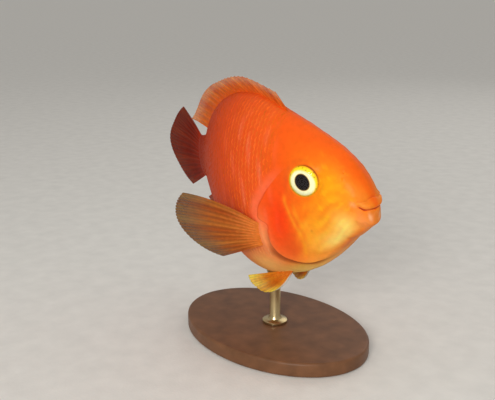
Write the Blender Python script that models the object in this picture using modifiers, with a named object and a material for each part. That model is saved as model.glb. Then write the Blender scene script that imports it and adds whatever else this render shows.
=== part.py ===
"""A blood parrot cichlid, life size, turning on a plain display stand.

The fish is modelled straight, with its snout at the origin: +X forward, +Y to its left, +Z up.
Every cut and gap is made there. Then one bend swings the tail to its left, and one placing
lifts it on to the stand, whose underside is centred on the world's origin.
"""

import math
from dataclasses import dataclass

import bmesh
import bpy
import numpy as np
from mathutils import Matrix, Vector
from mathutils.bvhtree import BVHTree

MM = 0.001
COLLECTION = "blood_parrot_cichlid"
SIDES = ("left", "right")
GAP = 0.3 * MM
SKIN_COLOUR = (0.86, 0.20, 0.035)
FIN_COLOUR = (0.80, 0.30, 0.10)
EYE_COLOUR = (0.75, 0.62, 0.08)
WOOD_COLOUR = (0.12, 0.055, 0.03)
BRASS_COLOUR = (0.60, 0.48, 0.27)

# The body's profiles at stations behind the snout
BODY_LENGTH = 150 * MM
STATIONS = MM * np.array([0.6, 1.8, 6, 14, 26, 40, 57, 75, 95, 115, 134, 150])
BACK = MM * np.array([-0.9, 6.2, 14.6, 24.0, 31.8, 38.4, 45.5, 52.0, 52.4, 44.4, 27.5, 23.0])
BELLY = MM * np.array([-0.9, -7.0, -11.0, -16.8, -27.0, -36.4, -42.8, -45.8, -40.4, -23.8, -6.8, -2.8])
WIDEST = MM * np.array([-0.9, -0.8, 1.9, 2.2, 3.0, 3.0, 2.2, 2.2, 3.2, 6.5, 9.5, 10.0])
HALF_WIDTH = MM * np.array([0, 4.7, 8.6, 12.4, 14.8, 17.5, 20.4, 22.4, 20.2, 13.8, 7.2, 3.2])
BACK_PINCH = 1.1
BELLY_FULLNESS = 0.9
BODY_RINGS = 46
BODY_COLUMNS = 48
RING_CROWDING = 1.7

# Where thin cuts part the body
SHOULDER = 50 * MM
STEM_START = 135 * MM

# Lips, by height above and below the mouth line
LIP_FADE = (5.5 * MM, 8.0 * MM)
UPPER_LIP_HEIGHT = 2.8 * MM
UPPER_LIP_SPREAD = 1.8 * MM
UPPER_LIP_SWELL = 1.2 * MM
LOWER_LIP_DROP = 6.2 * MM
LOWER_LIP_SPREAD = 2.4 * MM
LOWER_LIP_SWELL = 0.7 * MM

# The mouth's slit
MOUTH_DEPTH = 5.8 * MM
MOUTH_OPENING = 0.8 * MM
MOUTH_WIDTH = 26 * MM
MOUTH_TILT = math.radians(24)

# Nostrils
NOSTRIL_STATION = 12.8 * MM
NOSTRIL_ANGLE = math.radians(48)
NOSTRIL_RADIUS = 0.7 * MM
NOSTRIL_DEPTH = 1.6 * MM

# Eyes, flattened balls in open sockets, turned a little forward and dipped from the skin
EYE_STATION = 31.8 * MM
EYE_ANGLE = math.radians(17.5)
EYE_TURN = math.radians(2)
EYE_DIP = math.radians(12)
EYE_RADIUS = 8.6 * MM
EYE_HALF_DEPTH = 3.8 * MM
EYE_BULGE = 2.8 * MM
EYE_SEGMENTS = 22
EYE_RINGS = 11

# Gill covers, by degrees above the widest line
COVER_ANGLES = np.radians([30, 18, 3, -7, -12.5, -15.5, -22, -31, -43, -54, -63, -73, -84])
COVER_FRONT = MM * np.array([39.5, 43.0, 44.8, 44.2, 43.0, 42.0, 40.0, 38.2, 38.4, 33.5, 26.5, 20.5, 16.5])
COVER_REAR = MM * np.array([41.5, 47.6, 56.0, 60.2, 59.6, 57.0, 56.2, 56.0, 51.6, 42.8, 34.2, 27.1, 21.5])
COVER_SIDE_RADIUS = 20 * MM
COVER_DEPTH = 2.2 * MM
COVER_STEP = 1.7 * MM
COVER_RISE = 1.5
COVER_COLUMNS = 7
RECESS_OVERHANG = 6 * MM

# The bend: the tail swings to the fish's left, and the tail fin trails back a little
BEND_SPAN = (50 * MM, 150 * MM)
BEND_ANGLE = math.radians(-16)
TRAIL_SPAN = (146 * MM, 180 * MM)
TRAIL_ANGLE = math.radians(13)
BEND_STEP = 0.5 * MM
BEND_REACH = (-20 * MM, 240 * MM)

# The fish's place on its stand
NOSE_UP = math.radians(4.4)
BANK = math.radians(5.1)
SNOUT_PLACE = Vector((74.3, -4.4, 91.0)) * MM

# The thickness of fins
MEMBRANE_HALF = 0.27 * MM
MEMBRANE_EDGE_HALF = 0.2 * MM
RAY_HALF = 0.6 * MM
RAY_TIP_HALF = 0.3 * MM
ROOT_HALF = 1.0 * MM
SHEATH_SHARE = 0.08


@dataclass(frozen=True)
class Fin:
    """A fin's sizes, in mm and degrees. Each list runs from its first ray to its last."""

    rays: int
    rows: int
    length: tuple
    rise: tuple
    tip_lift: tuple = (0, 0)
    notch: tuple = (0.05, 0.03)
    stations: tuple = (0, 0)
    angles: tuple = (90, 90)
    out: float = 0
    cup: float = 0
    upright: bool = False


DORSAL = Fin(
    rays=25,
    rows=5,
    length=(6, 14, 16, 23, 31),
    rise=(60, 48, 35, 24, 12),
    tip_lift=(-0.5, -1, -1, -1.5, -2),
    notch=(0.16, 0.12, 0.08, 0.03, 0.03),
    stations=(54.5, 132.5),
)
ANAL = Fin(
    rays=13,
    rows=5,
    length=(7, 13, 17, 20, 22),
    rise=(-62, -56, -48, -40, -32),
    tip_lift=(0.5, 1, 1, 1.5, 2),
    notch=(0.14, 0.1, 0.05, 0.03, 0.03),
    stations=(104, 133),
    angles=(-90, -90),
)
TAIL = Fin(
    rays=15,
    rows=6,
    length=(24, 35, 43, 36, 27),
    rise=(-24, -8, 8, 24, 40),
    notch=(0.02, 0.03, 0.04, 0.03, 0.02),
)
PECTORAL = {
    side: Fin(
        rays=13,
        rows=6,
        length=(52, 51, 46, 37, 26),
        rise=(38, 25, 11, -2, -15),
        tip_lift=(-13, -8, -3, -1, 0),
        notch=(0.01, 0.02, 0.03, 0.03, 0.02),
        stations=(61, 62.5),
        angles=(-18, -33),
        out=out,
        cup=3,
        upright=True,
    )
    for side, out in (("left", 34), ("right", 40))
}
PELVIC = Fin(
    rays=6,
    rows=6,
    length=(19, 24, 24, 24, 23),
    rise=(-62, -48, -35, -24, -13),
    tip_lift=(7, 5, 3, 1, 0),
    notch=(0.04, 0.05, 0.06, 0.06, 0.04),
    stations=(55, 62.5),
    angles=(-71, -71),
    out=16,
)
TAIL_ROOT_INSET = 1.2 * MM
TAIL_ROOT_HALF = 1.6 * MM
TAIL_ROOT_TAPER = 0.75

# The stand
BASE_LENGTH = 120 * MM
BASE_DEPTH = 84 * MM
BASE_THICKNESS = 8 * MM
BASE_SEGMENTS = 48
BASE_BEVEL = 1.5 * MM
ROD_RADIUS = 3.0 * MM
ROD_SEGMENTS = 20
COLLAR_RADIUS = 7.0 * MM
COLLAR_RIM = 1.5 * MM
COLLAR_HEIGHT = 3.0 * MM
CUP_RADIUS = 5.0 * MM
CUP_HEIGHT = 6 * MM


def smooth_curve(x, knots, values):
    """A smooth curve through the knots: cubic Hermite pieces with parabola slopes."""
    step = np.diff(knots)
    slope = np.gradient(values, knots, edge_order=min(2, len(knots) - 1))
    k = np.clip(np.searchsorted(knots, x) - 1, 0, len(knots) - 2)
    t = (x - knots[k]) / step[k]
    start = values[k] * (1 + 2 * t) * (1 - t) ** 2 + slope[k] * step[k] * t * (1 - t) ** 2
    end = values[k + 1] * t * t * (3 - 2 * t) + slope[k + 1] * step[k] * t * t * (t - 1)
    return start + end


def profile(values, station):
    """A profile's value at a station. The square root rounds off the snout."""
    behind = np.sqrt(np.maximum(station - STATIONS[0], 0))
    return smooth_curve(behind, np.sqrt(STATIONS - STATIONS[0]), values)


def ease(x, span):
    """A smooth step from 0 to 1 across a span."""
    t = np.clip((x - span[0]) / (span[1] - span[0]), 0, 1)
    return t * t * (3 - 2 * t)


def bump(x, centre, spread):
    """A rounded bump of height 1."""
    return np.exp(-((x - centre) / spread) ** 2)


def section_point(station, angle):
    """A point of the bare body; angle 0 is the left side, 90 degrees the back."""
    middle = profile(WIDEST, station)
    above = profile(BACK, station) - middle
    below = middle - profile(BELLY, station)
    sine = np.sin(angle)
    cosine = np.cos(angle)
    power = np.where(sine > 0, BACK_PINCH, BELLY_FULLNESS)
    side = profile(HALF_WIDTH, station) * np.sign(cosine) * np.abs(cosine) ** power
    height = middle + np.where(sine > 0, above, below) * sine
    return np.stack([-station + 0 * side, side, height], -1)


def outward(station, angle):
    """The bare body's outward direction, from its slopes along and around."""
    along = 0.2 * MM
    around = 0.004
    behind = section_point(station + along, angle)
    ahead = section_point(np.maximum(station - along, STATIONS[0]), angle)
    up = section_point(station, angle + around)
    down = section_point(station, angle - around)
    normal = np.cross(behind - ahead, up - down)
    return normal / np.maximum(np.linalg.norm(normal, axis=-1, keepdims=True), 1e-12)


def lip_relief(station, point):
    """How far the lips stand off the bare body."""
    height = point[..., 2] - profile(WIDEST, station)
    upper = UPPER_LIP_SWELL * bump(height, UPPER_LIP_HEIGHT, UPPER_LIP_SPREAD)
    lower = LOWER_LIP_SWELL * bump(height, -LOWER_LIP_DROP, LOWER_LIP_SPREAD)
    return (1 - ease(station, LIP_FADE)) * (upper + lower)


def skin_point(station, angle, lift=0.0):
    """A point of the finished body, lifted off it by lift."""
    station, angle, lift = np.broadcast_arrays(np.asarray(station, float), angle, lift)
    point = section_point(station, angle)
    rise = lip_relief(station, point) + lift
    return point + outward(station, angle) * rise[..., None]


def swing(station):
    """The body's heading at a station, as an angle about the vertical."""
    return BEND_ANGLE * ease(station, BEND_SPAN) + TRAIL_ANGLE * ease(station, TRAIL_SPAN)


def bend(points):
    """Swing the straight fish's points along its bent backbone."""
    stations = np.arange(*BEND_REACH, BEND_STEP)
    heading = swing(stations)
    spine_x = -np.cumsum(np.cos(heading)) * BEND_STEP
    spine_y = -np.cumsum(np.sin(heading)) * BEND_STEP
    snout = int(np.argmin(np.abs(stations)))
    place = -points[:, 0]
    angle = swing(place)
    x = np.interp(place, stations, spine_x - spine_x[snout]) - np.sin(angle) * points[:, 1]
    y = np.interp(place, stations, spine_y - spine_y[snout]) + np.cos(angle) * points[:, 1]
    return np.stack([x, y, points[:, 2]], -1)


def placing():
    """The matrix that lifts the bent fish on to its stand."""
    pitch = Matrix.Rotation(-NOSE_UP, 4, "Y")
    roll = Matrix.Rotation(BANK, 4, "X")
    return Matrix.Translation(SNOUT_PLACE) @ pitch @ roll


def mirrored(points, side):
    """Points of the fish's left side, or their mirror on its right."""
    return points * np.array([1, 1 if side == "left" else -1, 1])


def collection(name):
    """The collection of this name, made when it is first asked for."""
    found = bpy.data.collections.get(name)
    if found is None:
        found = bpy.data.collections.new(name)
        bpy.context.scene.collection.children.link(found)
    return found


def add_object(name, mesh, holder):
    """Put a mesh in the scene as an object of this name. A cutter stays out of renders."""
    obj = bpy.data.objects.new(name, mesh)
    collection(holder).objects.link(obj)
    if holder != COLLECTION:
        obj.hide_render = True
        obj.display_type = "WIRE"
    return obj


def mesh_object(name, points, faces, holder=COLLECTION):
    """An object from points and faces, with its faces turned outwards."""
    mesh = bpy.data.meshes.new(name)
    mesh.from_pydata([tuple(p) for p in points], [], faces)
    shape = bmesh.new()
    shape.from_mesh(mesh)
    bmesh.ops.recalc_face_normals(shape, faces=shape.faces)
    shape.to_mesh(mesh)
    shape.free()
    return add_object(name, mesh, holder)


def primitive_object(name, create, matrix, holder=COLLECTION, **sizes):
    """An object from one of bmesh's own primitives."""
    shape = bmesh.new()
    create(shape, matrix=matrix, **sizes)
    mesh = bpy.data.meshes.new(name)
    shape.to_mesh(mesh)
    shape.free()
    return add_object(name, mesh, holder)


def box_cutter(name, matrix):
    """A cutter: the unit cube under a matrix."""
    return primitive_object(name, bmesh.ops.create_cube, matrix, "cutters", size=1)


def boolean(target, cutter, operation):
    """Cut target with cutter, keep the largest piece and drop the cutter."""
    modifier = target.modifiers.new("cut", "BOOLEAN")
    modifier.operation = operation
    modifier.solver = "EXACT"
    modifier.object = cutter
    view = bpy.context.evaluated_depsgraph_get()
    shape = bpy.data.meshes.new_from_object(target.evaluated_get(view))
    target.modifiers.clear()
    target.data = shape
    bpy.data.objects.remove(cutter)
    keep_largest(target)


def keep_largest(obj):
    """Drop every loose surface but the largest."""
    shape = bmesh.new()
    shape.from_mesh(obj.data)
    unseen = set(shape.verts)
    groups = []
    while unseen:
        front = [unseen.pop()]
        group = list(front)
        while front:
            vert = front.pop()
            fresh = unseen.intersection(edge.other_vert(vert) for edge in vert.link_edges)
            unseen -= fresh
            front.extend(fresh)
            group.extend(fresh)
        groups.append(group)
    for group in sorted(groups, key=len)[:-1]:
        bmesh.ops.delete(shape, geom=group, context="VERTS")
    shape.to_mesh(obj.data)
    shape.free()


def finish(obj, colour, roughness, metallic=0.0):
    """Give a node its own material and smooth shading."""
    material = bpy.data.materials.new(obj.name)
    material.use_nodes = True
    shader = material.node_tree.nodes["Principled BSDF"]
    shader.inputs["Base Color"].default_value = (*colour, 1)
    shader.inputs["Roughness"].default_value = roughness
    shader.inputs["Metallic"].default_value = metallic
    obj.data.materials.clear()
    obj.data.materials.append(material)
    obj.data.shade_smooth()
    obj.data.set_sharp_from_angle(angle=math.radians(35))


def pose(obj):
    """Bend a node of the straight fish and lift it on to the stand."""
    mesh = obj.data
    flat = np.empty(3 * len(mesh.vertices))
    mesh.vertices.foreach_get("co", flat)
    matrix = np.array(placing())
    placed = bend(flat.reshape(-1, 3)) @ matrix[:3, :3].T + matrix[:3, 3]
    mesh.vertices.foreach_set("co", placed.ravel())
    mesh.update()


def ring_faces(rings, columns):
    """Quads between closed rings, with a fan at each end's pole."""
    faces = []
    first_pole = rings * columns
    last = (rings - 1) * columns
    for j in range(columns):
        k = (j + 1) % columns
        for i in range(0, last, columns):
            faces.append((i + j, i + k, i + columns + k, i + columns + j))
        faces.append((first_pole, k, j))
        faces.append((first_pole + 1, last + j, last + k))
    return faces


def body_solid(name):
    """The whole body from the snout to the tail fin's root, as one closed loft."""
    share = np.arange(1, BODY_RINGS + 1) / BODY_RINGS
    station = STATIONS[0] + (BODY_LENGTH - STATIONS[0]) * share ** RING_CROWDING
    angle = np.linspace(0, 2 * np.pi, BODY_COLUMNS, endpoint=False)
    rings = skin_point(station[:, None], angle[None, :])
    snout = [-STATIONS[0], 0, WIDEST[0]]
    end = [-BODY_LENGTH, 0, WIDEST[-1]]
    points = np.vstack([rings.reshape(-1, 3), snout, end])
    return mesh_object(name, points, ring_faces(BODY_RINGS, BODY_COLUMNS))


def slab(name, front, back):
    """A cutter that holds everything between two stations."""
    wide = 2 * BODY_LENGTH
    size = Matrix.Diagonal((back - front, wide, wide, 1))
    return box_cutter(name, Matrix.Translation((-(front + back) / 2, 0, 0)) @ size)


def grid_solid(name, face_a, face_b, holder=COLLECTION):
    """A closed plate between two like grids of points, split into triangles alike on both."""
    rows, columns = face_a.shape[:2]
    points = np.concatenate([face_a.reshape(-1, 3), face_b.reshape(-1, 3)])
    other = rows * columns
    faces = []
    for a in range((rows - 1) * columns):
        if a % columns < columns - 1:
            b, c, d = a + 1, a + columns + 1, a + columns
            faces.extend([(a, b, c), (a, c, d)])
            faces.extend([(other + c, other + b, other + a), (other + d, other + c, other + a)])
    top = list(range(columns - 1))
    right = [i * columns + columns - 1 for i in range(rows - 1)]
    bottom = [(rows - 1) * columns + j for j in range(columns - 1, 0, -1)]
    left = [i * columns for i in range(rows - 1, 0, -1)]
    rim = top + right + bottom + left
    for here, following in zip(rim, rim[1:] + rim[:1]):
        faces.append((here, other + here, other + following))
        faces.append((here, other + following, following))
    return mesh_object(name, points, faces, holder)


def cover_edge(angle, values, grow):
    """A gill cover's edge at each angle, moved by grow square to itself."""
    line = smooth_curve(angle, COVER_ANGLES[::-1], values[::-1])
    slope = np.gradient(line, angle) / COVER_SIDE_RADIUS
    return line + grow * np.sqrt(1 + slope ** 2)


def cover_grid(grow, lift_front, lift_rear):
    """A gill cover's surface: across from the front crease to the free edge, down the side."""
    knots = len(COVER_ANGLES)
    angle = np.interp(np.linspace(0, knots - 1, 2 * knots - 1), np.arange(knots), COVER_ANGLES)
    front = cover_edge(angle, COVER_FRONT, -grow)[:, None]
    rear = cover_edge(angle, COVER_REAR, grow)[:, None]
    angle[0] += grow / COVER_SIDE_RADIUS
    angle[-1] -= grow / COVER_SIDE_RADIUS
    share = np.linspace(0, 1, COVER_COLUMNS)[None, :]
    lift = lift_front + (lift_rear - lift_front) * share ** COVER_RISE
    return skin_point(front + (rear - front) * share, angle[:, None], lift)


def gill_cover(side):
    """The raised plate behind the cheek, free at its rear and lower edge."""
    outer = mirrored(cover_grid(0, 0, COVER_STEP), side)
    inner = mirrored(cover_grid(0, -COVER_DEPTH, -COVER_DEPTH), side)
    return grid_solid("gill_cover_" + side, outer, inner)


def cover_recess(side):
    """The cutter that makes room for a gill cover, with a gap all round."""
    outer = mirrored(cover_grid(GAP, RECESS_OVERHANG, RECESS_OVERHANG), side)
    inner = mirrored(cover_grid(GAP, -COVER_DEPTH - GAP, -COVER_DEPTH - GAP), side)
    return grid_solid("recess_" + side, outer, inner, "cutters")


def facing_matrix(station, angle, side, turn=0.0, dip=0.0):
    """The place of a body point on one side, with Z outwards, turned forward and dipped."""
    hand = 1 if side == "left" else -1
    place = mirrored(section_point(station, angle), side)
    axis = mirrored(outward(station, angle), side)
    aim = Matrix.Rotation(-hand * turn, 4, "Z") @ Matrix.Rotation(-hand * dip, 4, "X")
    facing = Vector(axis).to_track_quat("Z", "Y").to_matrix().to_4x4()
    return Matrix.Translation(Vector(place)) @ aim @ facing


def eye_ball(name, side, grow=0.0, holder=COLLECTION):
    """A flattened ball at an eye's place, grown by grow."""
    sink = Matrix.Translation((0, 0, EYE_BULGE - EYE_HALF_DEPTH))
    radius = EYE_RADIUS + grow
    size = Matrix.Diagonal((radius, radius, EYE_HALF_DEPTH + grow, 1))
    place = facing_matrix(EYE_STATION, EYE_ANGLE, side, EYE_TURN, EYE_DIP)
    sizes = {"u_segments": EYE_SEGMENTS, "v_segments": EYE_RINGS, "radius": 1}
    matrix = place @ sink @ size
    return primitive_object(name, bmesh.ops.create_uvsphere, matrix, holder, **sizes)


def mouth_cutter():
    """A thin box that opens the mouth from corner to corner."""
    place = Matrix.Translation((0, 0, profile(WIDEST, MOUTH_DEPTH / 2)))
    tilt = Matrix.Rotation(MOUTH_TILT, 4, "Y")
    size = Matrix.Diagonal((2 * MOUTH_DEPTH, MOUTH_WIDTH, MOUTH_OPENING, 1))
    return box_cutter("mouth", place @ tilt @ size)


def nostril_cutter(side):
    """A short tapered pit on one side of the snout."""
    matrix = facing_matrix(NOSTRIL_STATION, NOSTRIL_ANGLE, side)
    sizes = {"cap_ends": True, "segments": 10, "depth": 2 * NOSTRIL_DEPTH}
    sizes["radius1"] = 0.6 * NOSTRIL_RADIUS
    sizes["radius2"] = NOSTRIL_RADIUS
    return primitive_object("nostril_" + side, bmesh.ops.create_cone, matrix, "cutters", **sizes)


def head():
    """The head with its lips, mouth, nostrils and eye sockets."""
    obj = body_solid("head")
    boolean(obj, slab("head_slab", -BODY_LENGTH, SHOULDER - GAP / 2), "INTERSECT")
    boolean(obj, mouth_cutter(), "DIFFERENCE")
    for side in SIDES:
        boolean(obj, cover_recess(side), "DIFFERENCE")
        boolean(obj, eye_ball("socket_" + side, side, GAP, "cutters"), "DIFFERENCE")
        boolean(obj, nostril_cutter(side), "DIFFERENCE")
    return obj


def trunk():
    """The deep body between the shoulder and the tail's stem."""
    obj = body_solid("trunk")
    boolean(obj, slab("trunk_slab", SHOULDER + GAP / 2, STEM_START - GAP / 2), "INTERSECT")
    for side in SIDES:
        boolean(obj, cover_recess(side), "DIFFERENCE")
    return obj


def tail_stem():
    """The narrow stem that carries the tail fin."""
    obj = body_solid("tail_stem")
    boolean(obj, slab("stem_slab", STEM_START + GAP / 2, 2 * BODY_LENGTH), "INTERSECT")
    return obj


def spread(values, share):
    """A fin's list of values at shares of the way from its first ray to its last."""
    return smooth_curve(share, np.linspace(0, 1, len(values)), np.array(values, float))


def ray_rows(fin, root, share, side):
    """Points out along each ray: its line, the lift of its tip, and the fin's cup."""
    rise = np.radians(spread(fin.rise, share))
    out = math.radians(fin.out)
    flat = np.cos(rise)
    line = np.stack([-math.cos(out) * flat, math.sin(out) * flat, np.sin(rise)], -1)
    membrane = np.arange(len(share)) % 2 == 1
    length = MM * spread(fin.length, share) * (1 - membrane * spread(fin.notch, share))
    bow = MM * np.stack([0 * share, 0 * share - fin.cup, spread(fin.tip_lift, share)], -1)
    steps = np.linspace(0, 1, fin.rows)
    steps[0] = SHEATH_SHARE
    steps = steps[:, None, None]
    return root + mirrored(line * length[:, None] * steps + bow * steps ** 2, side)


def fin_solid(name, fin, root_a, root_b, side="left"):
    """A fin from the two edges of its root: rays are ridges, with membrane between them."""
    share = np.linspace(0, 1, len(root_a))
    root = (root_a + root_b) / 2
    rows = ray_rows(fin, root, share, side)
    whole = np.concatenate([root[None], rows])
    normal = np.cross(np.gradient(whole, axis=0), np.gradient(whole, axis=1))
    normal /= np.linalg.norm(normal, axis=-1, keepdims=True)
    normal *= np.sign(np.sum(normal[0] * (root_a - root_b)))
    steps = np.linspace(0, 1, fin.rows)[:, None]
    ray = RAY_HALF + (RAY_TIP_HALF - RAY_HALF) * steps
    membrane = np.where(steps < 1, MEMBRANE_HALF, MEMBRANE_EDGE_HALF)
    half = np.where(np.arange(len(share)) % 2 == 0, ray, membrane)
    offset = normal[1:] * half[..., None]
    face_a = np.concatenate([root_a[None], rows + offset])
    face_b = np.concatenate([root_b[None], rows - offset])
    return grid_solid(name, face_a, face_b)


def body_fin(name, fin, side="left"):
    """A fin whose root strip lies on the body, a gap off it."""
    share = np.linspace(0, 1, 2 * fin.rays - 1)
    station = MM * spread(fin.stations, share)
    angle = np.radians(spread(fin.angles, share))
    along = ROOT_HALF if fin.upright else 0
    around = 0 if fin.upright else ROOT_HALF / profile(HALF_WIDTH, station)
    root_a = mirrored(skin_point(station + along, angle - around, GAP), side)
    root_b = mirrored(skin_point(station - along, angle + around, GAP), side)
    return fin_solid(name, fin, root_a, root_b, side)


def tail_fin():
    """The rounded fan behind the tail's stem."""
    share = np.linspace(0, 1, 2 * TAIL.rays - 1)
    low = BELLY[-1] + TAIL_ROOT_INSET
    high = BACK[-1] - TAIL_ROOT_INSET
    height = low + (high - low) * share
    half = TAIL_ROOT_HALF * np.sqrt(1 - TAIL_ROOT_TAPER * (2 * share - 1) ** 2)
    behind = -BODY_LENGTH - GAP + 0 * share
    root_a = np.stack([behind, half, height], -1)
    root_b = np.stack([behind, -half, height], -1)
    return fin_solid("tail_fin", TAIL, root_a, root_b)


def stand_base():
    """An oval base with softened edges."""
    size = Matrix.Diagonal((BASE_LENGTH / 2, BASE_DEPTH / 2, BASE_THICKNESS, 1))
    matrix = Matrix.Translation((0, 0, BASE_THICKNESS / 2)) @ size
    sizes = {"cap_ends": True, "segments": BASE_SEGMENTS, "radius1": 1, "radius2": 1, "depth": 1}
    obj = primitive_object("stand_base", bmesh.ops.create_cone, matrix, **sizes)
    bevel = obj.modifiers.new("edge", "BEVEL")
    bevel.width = BASE_BEVEL
    bevel.segments = 2
    bevel.limit_method = "ANGLE"
    bevel.angle_limit = math.radians(60)
    return obj


def stand_rod(body):
    """A turned rod with a foot collar, and a cup whose rim follows the belly above it."""
    foot = BASE_THICKNESS + GAP
    under = BVHTree.FromObject(body, bpy.context.evaluated_depsgraph_get())
    up = Vector((0, 0, 1))
    top = under.ray_cast(Vector((0, 0, foot)), up)[0].z
    outline = [
        (COLLAR_RADIUS, foot),
        (COLLAR_RADIUS, foot + COLLAR_RIM),
        (ROD_RADIUS, foot + COLLAR_HEIGHT),
        (ROD_RADIUS, top - CUP_HEIGHT),
        (CUP_RADIUS, top),
        (CUP_RADIUS / 2, top),
    ]
    turn = np.linspace(0, 2 * np.pi, ROD_SEGMENTS, endpoint=False)
    rings = [np.stack([r * np.cos(turn), r * np.sin(turn), z + 0 * turn], -1) for r, z in outline]
    points = np.vstack([*rings, [0, 0, foot], [0, 0, top]])
    for k in np.flatnonzero(points[:, 2] >= top):
        start = Vector((points[k, 0], points[k, 1], foot))
        points[k, 2] = under.ray_cast(start, up)[0].z - GAP
    return mesh_object("stand_rod", points, ring_faces(len(outline), ROD_SEGMENTS))


def main():
    """Build every node of the fish and its stand."""
    for obj in list(bpy.data.objects):
        bpy.data.objects.remove(obj)
    body = trunk()
    flesh = [head(), body, tail_stem()]
    flesh += [gill_cover(side) for side in SIDES]
    eyes = [eye_ball("eye_" + side, side) for side in SIDES]
    fins = [body_fin("dorsal_fin", DORSAL), body_fin("anal_fin", ANAL), tail_fin()]
    fins += [body_fin("pectoral_fin_" + side, PECTORAL[side], side) for side in SIDES]
    fins += [body_fin("pelvic_fin_" + side, PELVIC, side) for side in SIDES]
    looks = ((flesh, SKIN_COLOUR, 0.35), (eyes, EYE_COLOUR, 0.08), (fins, FIN_COLOUR, 0.4))
    for pieces, colour, roughness in looks:
        for obj in pieces:
            finish(obj, colour, roughness)
            pose(obj)
    finish(stand_base(), WOOD_COLOUR, 0.4)
    finish(stand_rod(body), BRASS_COLOUR, 0.3, metallic=1.0)


main()
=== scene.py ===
"""A still, life-size blood parrot cichlid on a plain display stand.

The fish is shaped straight, in millimetres: its snout at the origin, x forward, y to its left
and z up. A place on its skin is a station, the distance behind the snout, and an angle round
the body: 0 on the left side and a quarter turn on the back. One bend and one placing then
carry every point into the world, in metres.
"""

import logging
import math
from dataclasses import dataclass
from enum import Enum
import bpy
import numpy as np
from mathutils import Matrix, Vector


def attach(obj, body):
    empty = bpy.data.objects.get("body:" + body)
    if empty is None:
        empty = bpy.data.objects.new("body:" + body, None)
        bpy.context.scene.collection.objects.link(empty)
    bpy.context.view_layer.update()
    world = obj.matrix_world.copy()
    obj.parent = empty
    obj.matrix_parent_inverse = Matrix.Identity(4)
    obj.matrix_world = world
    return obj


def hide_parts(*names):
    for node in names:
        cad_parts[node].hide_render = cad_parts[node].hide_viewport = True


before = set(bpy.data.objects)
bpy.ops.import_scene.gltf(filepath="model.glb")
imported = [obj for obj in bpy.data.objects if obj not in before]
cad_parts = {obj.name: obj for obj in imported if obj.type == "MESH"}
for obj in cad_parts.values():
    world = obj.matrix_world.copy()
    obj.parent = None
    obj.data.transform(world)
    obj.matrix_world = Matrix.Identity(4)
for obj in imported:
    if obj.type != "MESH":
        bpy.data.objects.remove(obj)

Array = np.ndarray
Colour = tuple[float, float, float]
MM = 0.001
LOG = logging.getLogger("blood_parrot_cichlid")


def smooth_curve(x: Array, knots: Array, values: Array) -> Array:
    """Follow a smooth curve through the knots: cubic Hermite pieces with parabola slopes.

    Args:
        x: Where the curve is read.
        knots: The places of the known values, rising.
        values: The known values.

    Returns:
        The curve's values, shaped as x.
    """
    x = np.asarray(x, float)
    knots = np.asarray(knots, float)
    values = np.asarray(values, float)
    step = np.diff(knots)
    slope = np.gradient(values, knots, edge_order=min(2, len(knots) - 1))
    k = np.clip(np.searchsorted(knots, x) - 1, 0, len(knots) - 2)
    t = (x - knots[k]) / step[k]
    start = values[k] * (1 + 2 * t) * (1 - t) ** 2 + slope[k] * step[k] * t * (1 - t) ** 2
    end = values[k + 1] * t * t * (3 - 2 * t) + slope[k + 1] * step[k] * t * t * (t - 1)
    return start + end


def spread(values: tuple, share: Array) -> Array:
    """Read an even list of values at shares of the way from its first to its last."""
    return smooth_curve(share, np.linspace(0, 1, len(values)), np.array(values))


def line_station(degrees: Array, angles: tuple, stations: tuple) -> Array:
    """Read the station of a line on the skin, held within its own range.

    Args:
        degrees: Where it is read, in degrees above the widest line.
        angles: The angles of its known places, falling.
        stations: Their stations.

    Returns:
        The line's station at each angle.
    """
    line = smooth_curve(degrees, angles[::-1], stations[::-1])
    return np.clip(line, min(stations), max(stations))


def ease(x: Array, start: float, end: float) -> Array:
    """Step smoothly from 0 at start to 1 at end: t squared times 3 minus 2 t."""
    t = np.clip((x - start) / (end - start), 0, 1)
    return t * t * (3 - 2 * t)


def bump(x: Array, centre: float, width: float) -> Array:
    """Give a rounded bump of height 1: e to minus the squared distance over the width."""
    return np.exp(-(((x - centre) / width) ** 2))


def blend(a: Array, b: Array, share: Array) -> Array:
    """Mix two colour fields by a share that has one axis fewer."""
    share = np.asarray(share)[..., None]
    return np.asarray(a) * (1 - share) + np.asarray(b) * share


def unit(vectors: Array) -> Array:
    """Scale vectors to length 1."""
    return vectors / np.maximum(np.linalg.norm(vectors, axis=-1, keepdims=True), 1e-12)


def side_degrees(angle: Array) -> Array:
    """Turn angles round the body into degrees above the widest line, alike on both sides."""
    return np.degrees(np.arcsin(np.clip(np.sin(angle), -1, 1)))


def degrees_from(turn: Array, centre: float) -> Array:
    """Measure turns from a centre, the shorter way round."""
    return (turn - centre + 180) % 360 - 180


def on_left(points: Array) -> Array:
    """Mirror the right side's points to the left."""
    return np.stack([points[..., 0], np.abs(points[..., 1]), points[..., 2]], -1)


def ring_points(radius_x: Array, radius_y: Array, height: Array, turn: Array) -> Array:
    """Place level oval rings about the upright axis.

    A point's x and y are its ring's radii times the cosine and the sine of its turn.

    Args:
        radius_x: Each ring's radius along x.
        radius_y: Each ring's radius along y.
        height: Each ring's height.
        turn: The points' turns round the ring, in radians.

    Returns:
        The points, rings by turns by 3.
    """
    x = np.asarray(radius_x)[:, None] * np.cos(turn)
    y = np.asarray(radius_y)[:, None] * np.sin(turn)
    return np.stack(np.broadcast_arrays(x, y, np.asarray(height)[:, None]), -1)


def hand_over(data: bpy.types.bpy_prop_collection, key: str, values: Array, kind: type) -> None:
    """Fill one property of a mesh's list from an array."""
    data.foreach_set(key, values.astype(kind).ravel())


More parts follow.
